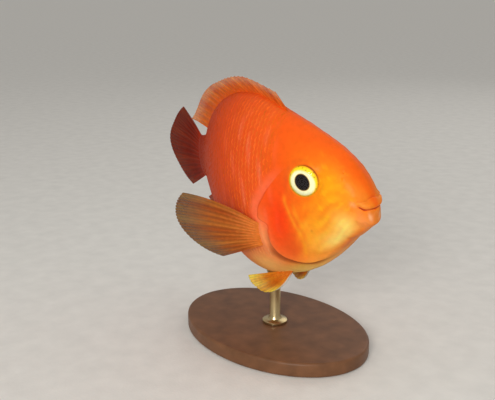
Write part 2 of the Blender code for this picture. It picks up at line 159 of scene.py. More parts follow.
def wire(tree: bpy.types.NodeTree, node: bpy.types.Node, inputs: dict) -> None:
    """Set a node's inputs.

    Args:
        tree: The tree that it is in.
        node: The node.
        inputs: For each input, a number or the output that is linked to it.
    """
    for name, value in inputs.items():
        if isinstance(value, bpy.types.NodeSocket):
            tree.links.new(value, node.inputs[name])
        else:
            node.inputs[name].default_value = value


def add_node(
    tree: bpy.types.NodeTree, kind: str, inputs: dict | None = None, **settings: str
) -> bpy.types.Node:
    """Add a shader node.

    Args:
        tree: The tree that it joins.
        kind: Its type.
        inputs: For each input, a number or the output that is linked to it.
        settings: Its own settings.

    Returns:
        The node.
    """
    node = tree.nodes.new("ShaderNode" + kind)
    for name, value in settings.items():
        setattr(node, name, value)
    wire(tree, node, inputs or {})
    return node


class Side(Enum):
    """A side of the fish, with the sign of y there."""

    LEFT = 1
    RIGHT = -1

    @property
    def word(self) -> str:
        """The side's name as the nodes have it."""
        return self.name.lower()

    def turned(self, points: Array) -> Array:
        """Points of the left side, or their mirror on the right."""
        return points * np.array([1, self.value, 1])


class Ends(Enum):
    """How the first and last ring of a loft are closed."""

    POINT = "a fan to the ring's middle"
    STRIP = "strips between the ring's two halves"


@dataclass
class Loft:
    """Closed surfaces through rings of points, with what their points carry.

    Attributes:
        rings: Points in world metres, shaped (solids, rows, columns, 3).
        ends: How the first and last rings are closed.
        tone: The points' colours, shaped as rings.
        cover: How much each point covers what is behind it, from 0 to 1.
        unwrap: Flat places of the points, (solids, rows, columns + 1, 2).
    """

    rings: Array
    ends: Ends
    tone: Array
    unwrap: Array
    cover: Array | None = None

    def corners(self) -> tuple[Array, Array, Array, Array]:
        """Number the corners of the faces.

        Column j of a row joins column j + 1 of it and of the next row; the last column joins
        the first. The flat places have one column more, so that nothing wraps there.

        Returns:
            The quads, the triangles, and the rows of the flat places for each of both.
        """
        solids, rows, columns = self.rings.shape[:3]
        start = np.arange(solids)[:, None, None] * rows * columns
        i = np.arange(rows - 1)[None, :, None] * columns
        j = np.arange(columns)[None, None, :]
        k = (j + 1) % columns
        here = start + i
        quads = np.stack([here + j, here + k, here + columns + k, here + columns + j], -1)
        wide = columns + 1
        flat = np.arange(solids)[:, None, None] * rows * wide
        row = flat + np.arange(rows - 1)[None, :, None] * wide
        places = np.stack([row + j, row + j + 1, row + wide + j + 1, row + wide + j], -1)
        quads, places = quads.reshape(-1, 4), places.reshape(-1, 4)
        last = (rows - 1) * columns
        none = np.zeros((0, 3), int)
        if self.ends is Ends.STRIP:
            a = np.arange(columns // 2 - 1)
            b = columns - 1 - a
            first = start[:, 0] + np.stack([a, b, b - 1, a + 1], -1).reshape(1, -1)
            final = start[:, 0] + last + np.stack([a, a + 1, b - 1, b], -1).reshape(1, -1)
            strips = np.concatenate([first.reshape(-1, 4), final.reshape(-1, 4)])
            solid, rest = np.divmod(strips, rows * columns)
            flat_rest = solid * rows * wide + rest // columns * wide + rest % columns
            return np.concatenate([quads, strips]), none, np.concatenate([places, flat_rest]), none
        poles = solids * rows * columns + 2 * np.arange(solids)[:, None, None]
        j, k = j[0], k[0]
        top, low = start[:, 0], start[:, 0] + last
        first = np.stack(np.broadcast_arrays(top + k, top + j, poles[:, 0]), -1)
        final = np.stack(np.broadcast_arrays(low + j, low + k, poles[:, 0] + 1), -1)
        fans = np.concatenate([first.reshape(-1, 3), final.reshape(-1, 3)])
        pole_places = solids * rows * wide + 2 * columns * np.arange(solids)[:, None] + j
        top, low = flat[:, 0], flat[:, 0] + (rows - 1) * wide
        first = np.stack([top + j + 1, top + j, pole_places], -1)
        final = np.stack([low + j, low + j + 1, pole_places + columns], -1)
        return quads, fans, places, np.concatenate([first.reshape(-1, 3), final.reshape(-1, 3)])

    def with_poles(self, values: Array) -> Array:
        """Flatten a field of the rings and append the middle of each first and last ring.

        Args:
            values: The field, shaped as the rings.

        Returns:
            One row for each point of the mesh.
        """
        flat = values.reshape(-1, values.shape[-1])
        if self.ends is Ends.STRIP:
            return flat
        poles = np.stack([values[:, 0].mean(1), values[:, -1].mean(1)], 1)
        return np.concatenate([flat, poles.reshape(-1, values.shape[-1])])

    def flat_places(self) -> Array:
        """List the flat places, with one for each triangle's pole midway between its corners.

        Returns:
            The places, one row each.
        """
        flat = self.unwrap.reshape(-1, 2)
        if self.ends is Ends.STRIP:
            return flat
        middle = (self.unwrap[:, :, :-1] + self.unwrap[:, :, 1:]) / 2
        poles = np.stack([middle[:, 0], middle[:, -1]], 1)
        return np.concatenate([flat, poles.reshape(-1, 2)])

    def build(self, name: str) -> bpy.types.Object:
        """Make the mesh object, its faces outward.

        Args:
            name: The piece's name.

        Returns:
            The new object, linked to the scene.
        """
        points = self.with_poles(self.rings)
        quads, fans, quad_places, fan_places = self.corners()
        sides = np.concatenate([quads[:, [0, 1, 2]], quads[:, [0, 2, 3]], fans])
        a, b, c = (points[sides[:, n]] for n in range(3))
        if np.einsum("ij,ij->i", a, np.cross(b, c)).sum() < 0:
            quads, fans = quads[:, ::-1], fans[:, ::-1]
            quad_places, fan_places = quad_places[:, ::-1], fan_places[:, ::-1]
        mesh = bpy.data.meshes.new(name)
        mesh.vertices.add(len(points))
        hand_over(mesh.vertices, "co", points, np.float32)
        mesh.loops.add(quads.size + fans.size)
        corners = np.concatenate([quads.ravel(), fans.ravel()])
        hand_over(mesh.loops, "vertex_index", corners, np.int32)
        mesh.polygons.add(len(quads) + len(fans))
        starts = np.concatenate([np.arange(len(quads)) * 4, quads.size + np.arange(len(fans)) * 3])
        hand_over(mesh.polygons, "loop_start", starts, np.int32)
        mesh.update(calc_edges=True)
        places = self.flat_places()[np.concatenate([quad_places.ravel(), fan_places.ravel()])]
        hand_over(mesh.uv_layers.new(name="OFBake").data, "uv", places, np.float32)
        tone = np.concatenate([self.with_poles(self.tone), np.ones((len(points), 1))], 1)
        attribute = mesh.attributes.new("Tone", "FLOAT_COLOR", "POINT")
        hand_over(attribute.data, "color", tone, np.float32)
        if self.cover is not None:
            attribute = mesh.attributes.new("Cover", "FLOAT", "POINT")
            hand_over(attribute.data, "value", self.with_poles(self.cover[..., None]), np.float32)
        mesh.shade_smooth()
        mesh.validate()
        obj = bpy.data.objects.new(name, mesh)
        bpy.context.scene.collection.objects.link(obj)
        return obj


def even_unwrap(shape: tuple[int, int, int]) -> Array:
    """Lay rings out flat and even: columns across, rows up.

    Args:
        shape: The numbers of solids, rows and columns.

    Returns:
        The flat places, (solids, rows, columns + 1, 2).
    """
    solids, rows, columns = shape
    across = np.linspace(0.01, 0.99, columns + 1)[None, None, :]
    up = np.linspace(0.01, 0.99, rows)[None, :, None]
    places = np.stack(np.broadcast_arrays(across, up), -1)
    return np.broadcast_to(places, (solids, rows, columns + 1, 2))


@dataclass(frozen=True)
class Body:
    """The straight fish's body: profiles at stations behind the snout, in mm."""

    length: float = 150
    stations: tuple = (0.6, 1.8, 6, 14, 26, 40, 57, 75, 95, 115, 134, 150)
    back: tuple = (-0.9, 6.2, 14.6, 24.0, 31.8, 38.4, 45.5, 52.0, 52.4, 44.4, 27.5, 23.0)
    belly: tuple = (-0.9, -7.0, -11.0, -16.8, -27.0, -36.4, -42.8, -45.8, -40.4, -23.8, -6.8, -2.8)
    widest: tuple = (-0.9, -0.8, 1.9, 2.2, 3.0, 3.0, 2.2, 2.2, 3.2, 6.5, 9.5, 10.0)
    half_width: tuple = (0, 4.7, 8.6, 12.4, 14.8, 17.5, 20.4, 22.4, 20.2, 13.8, 7.2, 3.2)
    back_pinch: float = 1.1
    belly_fullness: float = 0.9
    bend_span: tuple[float, float] = (50, 150)
    bend_turn: float = -16
    trail_span: tuple[float, float] = (146, 180)
    trail_turn: float = 13
    nose_up: float = 4.4
    bank: float = 5.1
    snout_place: tuple[float, float, float] = (74.3, -4.4, 91.0)
    slope_steps: tuple[float, float] = (0.2, 0.004)
    spine_span: tuple[float, float] = (-20, 240)
    spine_step: float = 0.5

    def behind(self, station: Array) -> Array:
        """The square root of the distance behind the snout's tip, which rounds off the snout."""
        return np.sqrt(np.maximum(station - self.stations[0], 0))

    def profile(self, values: tuple, station: Array) -> Array:
        """A profile's value at a station."""
        return smooth_curve(self.behind(station), self.behind(np.array(self.stations)), values)

    def section(self, station: Array, angle: Array) -> Array:
        """Place points on the bare body.

        Each section is two half ovals that meet at the widest line. The back's is pinched and
        the belly's is full, by the power that the cosine is raised to.

        Args:
            station: Distances behind the snout.
            angle: Angles round the body, in radians.

        Returns:
            The points, with a last axis of three.
        """
        middle = self.profile(self.widest, station)
        above = self.profile(self.back, station) - middle
        below = middle - self.profile(self.belly, station)
        sine = np.sin(angle)
        cosine = np.cos(angle)
        power = np.where(sine > 0, self.back_pinch, self.belly_fullness)
        side = self.profile(self.half_width, station) * np.sign(cosine) * np.abs(cosine) ** power
        height = middle + np.where(sine > 0, above, below) * sine
        return np.stack([-station + 0 * side, side, height], -1)

    def outward(self, station: Array, angle: Array) -> Array:
        """Find the bare body's outward direction, the cross product of its two slopes.

        Args:
            station: Distances behind the snout.
            angle: Angles round the body, in radians.

        Returns:
            Directions of length 1.
        """
        along, round_it = self.slope_steps
        behind = self.section(station + along, angle)
        ahead = self.section(np.maximum(station - along, self.stations[0]), angle)
        up = self.section(station, angle + round_it)
        down = self.section(station, angle - round_it)
        return unit(np.cross(behind - ahead, up - down))

    def lifted(self, station: Array, angle: Array, lift: Array) -> Array:
        """Place points a distance off the bare body, along its outward direction."""
        station, angle, lift = np.broadcast_arrays(np.asarray(station, float), angle, lift)
        return self.section(station, angle) + self.outward(station, angle) * lift[..., None]

    def swing(self, station: Array) -> Array:
        """The heading at a station, as an angle about the vertical."""
        turn = self.bend_turn * ease(station, *self.bend_span)
        return np.radians(turn + self.trail_turn * ease(station, *self.trail_span))

    def world(self, points: Array) -> Array:
        """Bend the straight fish and place it on its stand.

        The backbone's course is the running sum of its headings. Each point keeps its distance
        square to it. The bent fish is then banked, pitched nose up and moved.

        Args:
            points: Points of the straight fish, in mm.

        Returns:
            Their places in the world, in metres.
        """
        stations = np.arange(*self.spine_span, self.spine_step)
        heading = self.swing(stations)
        spine_x = -np.cumsum(np.cos(heading)) * self.spine_step
        spine_y = -np.cumsum(np.sin(heading)) * self.spine_step
        snout = int(np.argmin(np.abs(stations)))
        place = -points[..., 0]
        angle = self.swing(place)
        x = np.interp(place, stations, spine_x - spine_x[snout]) - np.sin(angle) * points[..., 1]
        y = np.interp(place, stations, spine_y - spine_y[snout]) + np.cos(angle) * points[..., 1]
        bent = np.stack([x, y, points[..., 2]], -1)
        pitch = Matrix.Rotation(-math.radians(self.nose_up), 3, "Y")
        roll = Matrix.Rotation(math.radians(self.bank), 3, "X")
        turn = np.array(pitch @ roll)
        return MM * (bent @ turn.T + np.array(self.snout_place))


@dataclass(frozen=True)
class Crease:
    """A groove along a line on both sides of the skin, or a ridge where its depth is below 0.

    Attributes:
        angles: Degrees above the widest line, falling.
        stations: The line's station at each angle.
        depth: How deep it is.
        width: Half its width.
        fade: Degrees over which it runs out at each end.
        snout_span: The skin's length for one root of the station, at least, on the round snout.
    """

    angles: tuple
    stations: tuple
    depth: float
    width: float
    fade: float = 8
    snout_span: float = 6.5

    def lift(self, body: Body, station: Array, degrees: Array) -> Array:
        """Find how far the groove takes the skin out: a rounded trough across the line.

        The distance across is the difference in the station's root times the skin's length
        for one root there.

        Args:
            body: The bare body.
            station: Distances behind the snout.
            degrees: How far above the widest line.

        Returns:
            The lift at each place.
        """
        line = line_station(degrees, self.angles, self.stations)
        root = body.behind(station)
        across = (root - body.behind(line)) * np.maximum(self.snout_span, 2 * root)
        low, high = min(self.angles), max(self.angles)
        ends = ease(degrees, low - self.fade, low)
        if high < 90:
            ends = ends * (1 - ease(degrees, high, high + self.fade))
        return -self.depth * bump(across, 0, self.width) * ends


@dataclass(frozen=True)
class Face:
    """The relief of the head: lips, mouth, folds, nostrils and gill covers, in mm and degrees.

    Attributes:
        body: The bare body.
        lips: The height, half height and swell of the upper and the lower lip.
        lip_fade: Where the lips start and end to run out.
        mouth_station: Where the widest line gives the mouth's height at the snout's tip.
        mouth_tilt: How steeply that plane falls to the front.
        mouth_depth: How deep the mouth's slit is.
        mouth_half_opening: Half its height.
        mouth_corner: Where the slit starts and ends to run out.
        mouth_droop: The station, half length and depth of its sag on either side.
        mouth_hollow: The depth and half height of the soft hollow round the slit.
        hollow_fade: Where the hollow starts and ends to run out.
        nostrils: The nostrils' stations and angles.
        nostril_radius: Their radius.
        nostril_depth: Their depth.
        nostril_rim: The height, distance and half width of the rim round each.
        fin_lobe: The station, angle, swell, half length and half height of the pectoral
            fin's fleshy root.
        cover_angles: The angles at which the gill covers' edges are given.
        cover_front: The stations of their front crease there.
        cover_rear: The stations of their free edge there.
        cover_step: How far the free edge stands off.
        cover_fade: The angles over which the covers merge into back and belly.
        uneven_height: How high the flesh's soft unevenness is.
        uneven_fade: Where it starts and ends, at the snout and behind the head.
        creases: The creases and ridges.
    """

    body: Body
    lips: tuple = ((2.8, 1.8, 1.2), (-6.2, 2.4, 0.7))
    lip_fade: tuple[float, float] = (5.5, 8.0)
    mouth_station: float = 2.9
    mouth_tilt: float = 24
    mouth_depth: float = 0.9
    mouth_half_opening: float = 0.44
    mouth_corner: tuple[float, float] = (3.8, 5.2)
    mouth_droop: tuple[float, float, float] = (2.5, 1.1, 0.6)
    mouth_hollow: tuple[float, float] = (0.45, 1.2)
    hollow_fade: tuple[float, float] = (4.0, 6.0)
    nostrils: tuple = ((12.4, 51), (12.4, 40.5))
    nostril_radius: float = 0.45
    nostril_depth: float = 0.5
    nostril_rim: tuple[float, float, float] = (0.1, 0.9, 0.4)
    fin_lobe: tuple[float, ...] = (61.5, -26, 1.0, 2.6, 11)
    cover_angles: tuple = (
        *(90, 45, 30, 18, 3, -7, -12.5, -14.7),
        *(-22, -31, -43, -54, -63, -73, -84, -90),
    )
    cover_front: tuple = (
        *(40, 40, 39.5, 43, 44.8, 44.2, 43, 42.3),
        *(40, 38.2, 38.4, 33.5, 26.5, 20.5, 16.5, 15),
    )
    cover_rear: tuple = (
        *(44, 43, 41.5, 47.6, 56, 60.4, 59.8, 56.8),
        *(56.2, 56, 51.6, 42.8, 34.2, 27.1, 21.5, 20),
    )
    cover_step: float = 1.7
    cover_fade: tuple = ((-4, 22), (-80, -54))
    uneven_height: float = 0.13
    uneven_fade: tuple = ((3, 12), (50, 70))
    creases: tuple[Crease, ...] = (
        Crease((90, 60, 30, 6, -6), (1.7, 1.9, 2.9, 6.3, 7.2), 0.5, 0.6),
        Crease((12, 0, -20, -40, -62), (5.9, 6.4, 6.6, 6.5, 6.4), 0.22, 1.3),
        Crease((2, -15, -35, -52), (9.2, 10.2, 10.4, 9.6), 0.15, 0.8),
        Crease((-45, -60, -75, -90), (3.2, 2.9, 2.7, 2.6), 0.4, 0.7),
        Crease(
            (-2, -5, -19, -27, -37, -46, -56), (44.6, 43.8, 40.1, 37.3, 36.9, 38.1, 38.5), 0.16, 1.3
        ),
        Crease(
            (-2, -5, -19, -27, -37, -46, -56), (41.6, 40.8, 37.3, 34.6, 34.2, 35.2, 35.5), -0.15, 2.2
        ),
        Crease((-58, -70, -88), (15.0, 14.5, 14.0), 0.35, 0.8),
    )

    def rear_edge(self, degrees: Array) -> Array:
        """The station of the gill covers' free edge, carried on evenly over back and belly."""
        return smooth_curve(degrees, self.cover_angles[::-1], self.cover_rear[::-1])

    def front_edge(self, degrees: Array) -> Array:
        """The station of the gill covers' front crease."""
        return smooth_curve(degrees, self.cover_angles[::-1], self.cover_front[::-1])

    def cover_share(self, degrees: Array) -> Array:
        """How free the gill cover is at an angle: 1 along its side, 0 on the back and belly."""
        above, below = self.cover_fade
        return (1 - ease(degrees, *above)) * ease(degrees, *below)

    def lift(self, station: Array, angle: Array) -> Array:
        """Find how far the flesh's relief stands off the bare body.

        The lips are rounded bumps by height, the mouth is a steep groove along a tilted plane
        with a soft hollow round it, and each nostril is a steep pit in a low rim. The gill
        covers' rise isn't in it, as it belongs to the rows that run ahead of their edge.

        Args:
            station: Distances behind the snout.
            angle: Angles round the body, in radians.

        Returns:
            The lift at each place.
        """
        body = self.body
        degrees = side_degrees(angle)
        point = body.section(station, angle)
        height = point[..., 2] - body.profile(body.widest, station)
        near_lips = 1 - ease(station, *self.lip_fade)
        lift = np.zeros(station.shape)
        for centre, half, swell in self.lips:
            lift = lift + near_lips * swell * bump(height, centre, half)
        tilt = math.radians(self.mouth_tilt)
        line = body.profile(body.widest, np.array(self.mouth_station)) + math.tan(tilt) * station
        place, half, sag = self.mouth_droop
        line = line - sag * bump(station, place, half)
        across = np.abs(point[..., 2] - line) * math.cos(tilt)
        slit = np.exp(-((across / self.mouth_half_opening) ** 3))
        lift = lift - (1 - ease(station, *self.mouth_corner)) * self.mouth_depth * slit
        depth, half = self.mouth_hollow
        lift = lift - (1 - ease(station, *self.hollow_fade)) * depth * bump(across, 0, half)
        for crease in self.creases:
            lift = lift + crease.lift(body, station, degrees)
        high, rim_away, rim_half = self.nostril_rim
        for place, side_angle in self.nostrils:
            pit = body.section(np.array(place), np.array(math.radians(side_angle)))
            away = np.linalg.norm(on_left(point) - pit, axis=-1)
            lift = lift - self.nostril_depth * np.exp(-((away / self.nostril_radius) ** 4))
            lift = lift + high * bump(away, rim_away, rim_half)
        place, side_angle, swell, reach, tall = self.fin_lobe
        lift = lift + swell * bump(station, place, reach) * bump(degrees, side_angle, tall)
        return lift + self.unevenness(point, station)

    def unevenness(self, point: Array, station: Array) -> Array:
        """Give the flesh its soft unevenness: a sum of products of long sine waves in x, y and z.

        Args:
            point: Places on the bare body.
            station: Their distances behind the snout.

        Returns:
            The lift at each place.
        """
        x, y, z = point[..., 0], np.abs(point[..., 1]), point[..., 2]
        waves = np.sin(0.31 * x + 0.23 * z + 1.1) * np.sin(0.27 * z - 0.19 * y)
        quick = np.sin(0.62 * x - 0.51 * z + 0.4) * np.sin(0.48 * z + 0.55 * y + 2.0)
        start, end = self.uneven_fade
        shown = ease(station, *start) * (1 - ease(station, *end))
        return self.uneven_height * (waves + 0.6 * quick) * shown


@dataclass(frozen=True)
class EyePlace:
    """Where an eye sits, in mm and degrees: on the skin, turned forward and dipped."""

    body: Body
    station: float = 31.8
    angle: float = 19.8
    turn: float = 10
    dip: float = 9
    rim: float = 7.8

    def axes(self) -> tuple[Array, Array, Array, Array]:
        """Find the left eye's place and its directions.

        Returns:
            The place, and the forward, upward and outward directions.
        """
        station, angle = np.array(self.station), np.array(math.radians(self.angle))
        place = self.body.section(station, angle)
        forward_turn = Matrix.Rotation(-math.radians(self.turn), 3, "Z")
        aim = forward_turn @ Matrix.Rotation(-math.radians(self.dip), 3, "X")
        out = unit(np.array(aim) @ self.body.outward(station, angle))
        forward = unit(np.array([1, 0, 0]) - out * out[0])
        up = unit(np.cross(out, forward) * np.sign(np.cross(out, forward)[2]))
        return place, forward, up, out

    def inside(self, points: Array) -> tuple[Array, Array, Array]:
        """Measure points of either side in the eye's plane.

        Args:
            points: Points of the straight fish.

        Returns:
            How far forward, up and outward each lies from the eye's place.
        """
        place, forward, up, out = self.axes()
        left = on_left(points) - place
        return left @ forward, left @ up, left @ out


@dataclass(frozen=True)
class Wash:
    """A soft patch of colour on both sides of the skin.

    Attributes:
        colour: Its linear colour.
        station: Where its middle is along the body.
        angle: Its middle in degrees above the widest line.
        reach: Half its length.
        spread: Half its height in degrees.
        strength: How much of the colour its middle has.
    """

    colour: Colour
    station: float
    angle: float
    reach: float
    spread: float
    strength: float = 1

    def over(self, tone: Array, station: Array, degrees: Array) -> Array:
        """Lay the patch over a field of colours."""
        share = bump(station, self.station, self.reach) * bump(degrees, self.angle, self.spread)
        return blend(tone, self.colour, self.strength * share)


@dataclass(frozen=True)
class Streak:
    """A soft line of colour on both sides of the skin.

    Attributes:
        colour: Its linear colour.
        angles: Degrees above the widest line, falling.
        stations: The line's station at each angle.
        width: Half its width, in mm.
        strength: How much of the colour its middle has.
        fade: Degrees over which it runs out at each end.
    """

    colour: Colour
    angles: tuple
    stations: tuple
    width: float
    strength: float
    fade: float = 8

    def over(self, tone: Array, station: Array, degrees: Array) -> Array:
        """Lay the line over a field of colours, fading out past its ends.

        Args:
            tone: The colours.
            station: Distances behind the snout.
            degrees: How far above the widest line.

        Returns:
            The new colours.
        """
        line = line_station(degrees, self.angles, self.stations)
        low, high = min(self.angles), max(self.angles)
        ends = ease(degrees, low - self.fade, low) * (1 - ease(degrees, high, high + self.fade))
        return blend(tone, self.colour, self.strength * ends * bump(station, line, self.width))


@dataclass(frozen=True)
class Colouring:
    """The fish's colours, shared by its skin and scales.

    Attributes:
        stations: Where the ground colours stand.
        ground: The ground colours, darker towards the tail: partly the fish's deeper red, partly
            painted shade.
        washes: The patches laid over them, a few of them painted highlights and shade.
        streaks: The lines laid over both.
        edge_red: The line along the gill covers' edge.
        flush_pink: The flush behind the edge's upper part.
        fold_shade_brown: The painted shade behind its lower part, under the cover's edge.
        bloom_pink: The smears on the flank.
        fleck_yellow: The blotches on the face.
    """

    stations: tuple = (0, 10, 24, 38, 46, 60, 85, 110, 135, 150)
    ground: tuple[Colour, ...] = (
        (0.93, 0.22, 0.012),
        (0.95, 0.19, 0.006),
        (0.95, 0.19, 0.005),
        (0.93, 0.15, 0.005),
        (0.90, 0.11, 0.006),
        (0.86, 0.095, 0.010),
        # From here to the tail: the fish's deeper red with painted shade over it.
        (0.70, 0.060, 0.006),
        (0.48, 0.034, 0.004),
        (0.36, 0.022, 0.003),
        (0.30, 0.017, 0.003),
    )
    washes: tuple[Wash, ...] = (
        Wash((0.95, 0.12, 0.003), 12, 78, 26, 26, 0.9),
        Wash((0.96, 0.11, 0.006), 40, 72, 24, 28, 0.8),
        Wash((0.99, 0.40, 0.005), 17, 20, 9, 24, 0.9),
        Wash((0.98, 0.32, 0.010), 11, 12, 6, 20, 0.6),
        Wash((0.98, 0.38, 0.012), 24, -24, 13, 20, 0.85),
        Wash((0.97, 0.42, 0.040), 27, -45, 14, 16, 0.85),
        Wash((1.00, 0.72, 0.160), 12, -32, 5.5, 20, 0.9),
        Wash((1.00, 0.72, 0.180), 18, -50, 8, 13, 0.9),
        Wash((0.92, 0.048, 0.002), 48, -14, 7.5, 26, 0.95),
        Wash((0.76, 0.080, 0.007), 45, -38, 6, 14, 0.75),
        Wash((0.95, 0.15, 0.004), 36, -6, 5, 9, 0.6),
        Wash((0.90, 0.09, 0.006), 47, 12, 5, 10, 0.6),
        Wash((0.90, 0.28, 0.060), 3, -42, 3.5, 30, 0.8),
        Wash((0.93, 0.24, 0.020), 3, 30, 3, 30, 0.7),
        Wash((0.72, 0.24, 0.040), 17, -84, 16, 13, 0.8),
        Wash((0.64, 0.09, 0.022), 17, -78, 8, 7, 0.95),
        Wash((0.62, 0.12, 0.020), 28, -70, 7, 4, 0.7),
        # Painted shade: the throat's pale yellow darkened to tan behind the cover's lower edge.
        Wash((0.66, 0.36, 0.060), 48, -66, 16, 12, 0.85),
        Wash((0.86, 0.46, 0.140), 68, -54, 14, 16, 0.85),
        Wash((1.00, 0.76, 0.220), 56, -81, 28, 13, 0.95),
        Wash((0.90, 0.46, 0.120), 82, -78, 24, 18, 0.7),
        Wash((0.96, 0.34, 0.120), 60.5, -27, 4, 15, 0.85),
        Wash((0.50, 0.050, 0.008), 30.5, -26, 0.7, 1.5, 0.6),
        # Painted highlight: a thin pale upright line on the lower lip.
        Wash((1.00, 0.55, 0.300), 1.4, -30, 0.35, 24, 0.7),
        # Painted highlight: pale peach on the upper lip's bulge at the mouth's corner.
        Wash((1.00, 0.42, 0.150), 6.6, 6, 1.3, 6, 0.75),
        # Painted highlight: the upper lip lighter below its crease.
        Wash((1.00, 0.34, 0.060), 2.6, 16, 2.0, 9, 0.5),
        Wash((0.95, 0.30, 0.080), 4.4, -28, 1.6, 26, 0.5),
    )
    streaks: tuple[Streak, ...] = (
        Streak(
            (0.99, 0.38, 0.015),
            (0, -6, -19, -27, -37, -46),
            (43.6, 42.4, 39.6, 37.6, 37.2, 38),
            width=1.2,
            strength=0.45,
        ),
        Streak((0.99, 0.42, 0.020), (-8, -19, -27, -37), (38.4, 35.4, 33.4, 33.0), 1.3, 0.35),
        Streak((0.99, 0.44, 0.030), (-20, -27, -37, -46), (32.8, 30.6, 29.4, 30.2), 1.3, 0.3),
    )
    edge_red: Colour = (0.55, 0.04, 0.006)
    flush_pink: Colour = (1.0, 0.19, 0.080)
    fold_shade_brown: Colour = (0.30, 0.055, 0.01)
    bloom_pink: Colour = (0.98, 0.20, 0.10)
    fleck_yellow: Colour = (1.0, 0.47, 0.01)

    def tone(self, station: Array, angle: Array) -> Array:
        """Mix the skin's colour at places on it.

        The ground colour runs along the body, darkening towards the tail partly by painted shade.
        Each wash and streak is laid over it in turn, a few of them painted highlights and shade,
        and the flank's blooms and the face's flecks come last.

        Args:
            station: Distances behind the snout.
            angle: Angles round the body, in radians.

        Returns:
            Linear colours, with a last axis of three.
        """
        degrees = side_degrees(angle)
        ground = np.array(self.ground)
        tone = np.stack([np.interp(station, self.stations, ground[:, n]) for n in range(3)], -1)
        for layer in (*self.washes, *self.streaks):
            tone = layer.over(tone, station, degrees)
        return self.flecked(self.bloomed(tone, station, degrees), station, degrees)

    def shaded(self, tone: Array, past: Array, degrees: Array) -> Array:
        """Colour the skin along the gill covers' edge.

        A dark line runs along the edge at the sides. Behind it the skin is flushed pink above
        and darkened brown below by painted shade, over a reach that grows towards the belly.

        Args:
            tone: The colours.
            past: How far behind the edge each is.
            degrees: How far above the widest line.

        Returns:
            The new colours.
        """
        line = bump(past, -0.1, 0.45) * (1 - ease(degrees, -2, 16)) * ease(degrees, -34, -22)
        tone = blend(tone, self.edge_red, 0.4 * line)
        flush = ease(past, 0.2, 0.9) * (1 - ease(past, 3, 9))
        upper = ease(degrees, -24, -12) * (1 - ease(degrees, 8, 30))
        tone = blend(tone, self.flush_pink, 0.6 * flush * upper)
        reach = 4 + 7 * ease(-degrees, 25, 50)
        # Painted shade: the skin behind the cover's lower edge turns brown, as in its shadow.
        fold_shadow = ease(past, 0.1, 0.5) * (1 - ease(past / reach, 0.45, 1))
        lower = ease(-degrees, 12, 42) * ease(degrees, -82, -64)
        return blend(tone, self.fold_shade_brown, 0.85 * fold_shadow * lower)

    def bloomed(self, tone: Array, station: Array, degrees: Array) -> Array:
        """Bloom the flank with upright smears of pink.

        They lie where a sum of two products of sine waves is high.

        Args:
            tone: The colours.
            station: Distances behind the snout.
            degrees: How far above the widest line.

        Returns:
            The new colours.
        """
        upright = np.sin(0.55 * station + 1.4 * np.sin(0.09 * degrees + 1))
        waves = upright * np.sin(0.11 * degrees + 0.2 * station)
        quick = np.sin(0.93 * station - 0.07 * degrees + 2)
        waves = waves + quick * np.sin(0.05 * degrees - 0.13 * station)
        flank = ease(station, 46, 56) * (1 - ease(station, 74, 94)) * bump(degrees, 12, 45)
        return blend(tone, self.bloom_pink, 0.32 * flank * ease(waves, 0.1, 1.5))

    def flecked(self, tone: Array, station: Array, degrees: Array) -> Array:
        """Fleck the face with yellow from the eye to the snout, and streak it finely.

        The blotches are where a product of sine waves, itself bent by a slower wave, is high.
        The fine streaks raise and lower green and blue by a product of quicker waves.

        Args:
            tone: The colours.
            station: Distances behind the snout.
            degrees: How far above the widest line.

        Returns:
            The new colours.
        """
        bent = degrees + 5 * np.sin(0.35 * station + 1.3)
        waves = np.sin(0.62 * station + 0.09 * bent) * np.sin(0.33 * bent + 0.11 * station)
        waves = waves + 0.5 * np.sin(1.3 * station - 0.21 * bent) * np.sin(0.61 * bent + 0.7)
        face = bump(station, 19, 11) * bump(degrees, 8, 38)
        tone = blend(tone, self.fleck_yellow, 0.55 * face * ease(waves, 0.15, 1.1))
        lines = np.sin(0.42 * degrees + 0.5 * station + 1.2 * np.sin(0.3 * station - 0.04 * degrees))
        lines = lines * np.sin(0.23 * station + 0.05 * degrees + 0.6)
        cheek = ease(station, 8, 14) * (1 - ease(station, 40, 50)) * bump(degrees, -12, 45)
        return tone * (1 + (0.14 * cheek * lines)[..., None] * np.array([0.1, 1.0, 1.0]))


